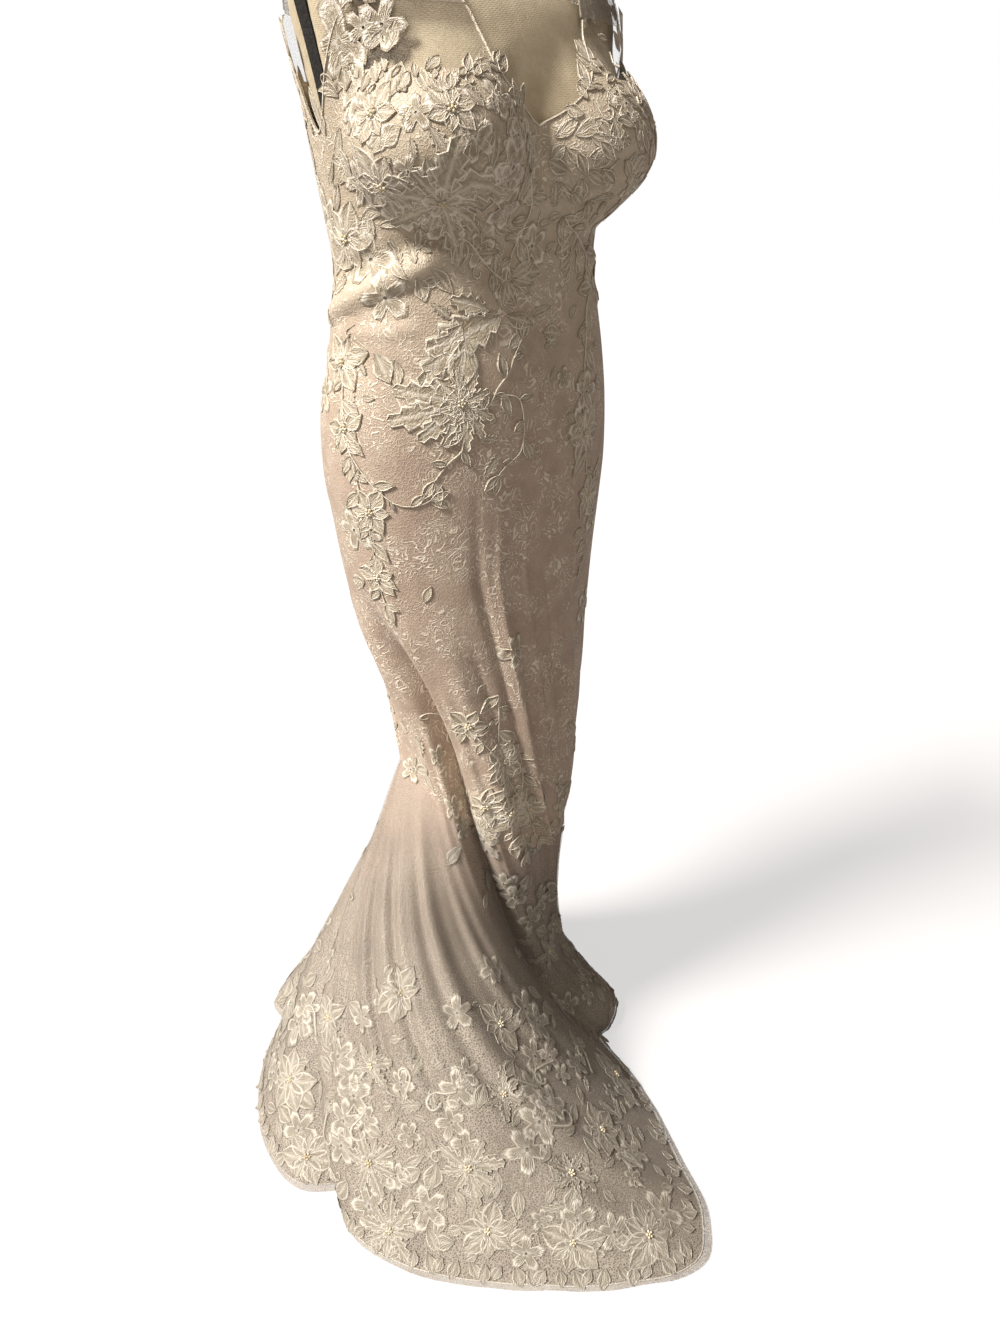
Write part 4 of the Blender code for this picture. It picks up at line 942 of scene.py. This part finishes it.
for angle, level, length, turn in ((-121, 2.66, 0.060, 120), (-114, 2.67, 0.066, 150), (-124, 2.70, 0.052, 300),
                                   (-150, 2.66, 0.056, 80), (-160, 2.70, 0.050, 250), (-134, 2.60, 0.050, 200),
                                   (-110, 2.78, 0.050, 20), (178, 2.70, 0.054, 110), (-172, 2.76, 0.050, 280)):
    rows.append((angle, level, length, turn, SCROLL))
hem = along_path(gown, [(a, 2.985) for a in range(-180, 181, 4)], 0.019)[0]
rows += [(a, 2.945, 0.022 + 0.003 * math.sin(3.1 * k), 270 + 30 * math.sin(1.9 * k), PETAL)
         for k, (a, _) in enumerate(hem)]
lay_lace("train_flowers", gown, host_points(rows), placed, pale, 0.0, 1, 0.0018, 0.0010,
                      [stem(gown, [(a, 2.985) for a in range(-180, 181, 4)], 0.002, 0.0012, 0.0008)])

# Pearl beads in the flowers' middles
pearls = new_material("pearl_bead", Roughness=0.25, Coat_Weight=0.6, Coat_Roughness=0.1)
place = add_node(pearls, "TexCoord").outputs["Object"]
lustre = add_node(pearls, "TexNoise", {"Vector": place}, Scale=300, Detail=2).outputs["Fac"]
tints = add_node(pearls, "ValToRGB", {"Fac": lustre}, [(0.35, "#C9B78F"), (0.65, "#E6DCC4")]).outputs["Color"]
finish_material(pearls, Base_Color=tints)
lay_lace("pearl_beads", gown, host_points(BEADS), placed, pearls, 0.0, 1, 0.0030, 0.0011)
for motif in list(motifs.objects):
    bpy.data.objects.remove(motif)
bpy.data.collections.remove(motifs)


# Studio: a plain pale floor and background, a warm soft key from the upper left and a weak fill.

floor_look = new_material("pale_floor", Base_Color=linear("#8B8888"), Roughness=0.9,
                          Emission_Color=linear("#F8F8F8"))
ray = add_node(floor_look, "LightPath").outputs["Is Camera Ray"]
glow = add_node(floor_look, "Math", {0: ray}, operation="MULTIPLY", _1=0.66).outputs["Value"]
finish_material(floor_look, Emission_Strength=glow)
floor_mesh = bpy.data.meshes.new("floor")
floor_mesh.from_pydata([(-30, -30, -0.0004), (30, -30, -0.0004), (30, 30, -0.0004), (-30, 30, -0.0004)], [],
                       [(0, 1, 2, 3)])
floor_mesh.materials.append(floor_look)
floor = bpy.data.objects.new("floor", floor_mesh)
bpy.context.scene.collection.objects.link(floor)


def sun(name, away, strength, softness, colour):
    """A light from far off, which comes from that direction."""
    light = bpy.data.lights.new(name, "SUN")
    light.energy, light.angle, light.color = strength, math.radians(softness), linear(colour)[:3]
    lamp = bpy.data.objects.new(name, light)
    lamp.rotation_euler = Vector(away).to_track_quat("Z", "Y").to_euler()
    bpy.context.scene.collection.objects.link(lamp)


sun("key", (-0.84, 0.14, 0.90), 6.6, 14, "#FFFAF4")
sun("fill", (-0.5, -1.0, 1.1), 0.4, 40, "#FFFAF3")

world = bpy.data.worlds.new("studio")
world.use_nodes = True
backdrop = world.node_tree.nodes["Background"]
ray = add_node(world, "LightPath").outputs["Is Camera Ray"]
seen = add_node(world, "MapRange", {"Value": ray}, To_Min=0.12, To_Max=1.0).outputs["Result"]
tone = add_node(world, "MixRGB", {"Fac": ray}, Color1=linear("#FFE3C8"), Color2=linear("#FFFFFF")).outputs["Color"]
world.node_tree.links.new(seen, backdrop.inputs["Strength"])
world.node_tree.links.new(tone, backdrop.inputs["Color"])
bpy.context.scene.world = world
bpy.context.scene.view_settings.view_transform = "Standard"

lens = bpy.data.cameras.new("camera")
lens.lens, lens.sensor_width = 27.0, 36.0
camera = bpy.data.objects.new("camera", lens)
camera.location = (-0.722, -0.984, 1.22)
camera.rotation_euler = (math.radians(90 - 26), 0.0, math.radians(-38))
bpy.context.scene.collection.objects.link(camera)
bpy.context.scene.camera = camera
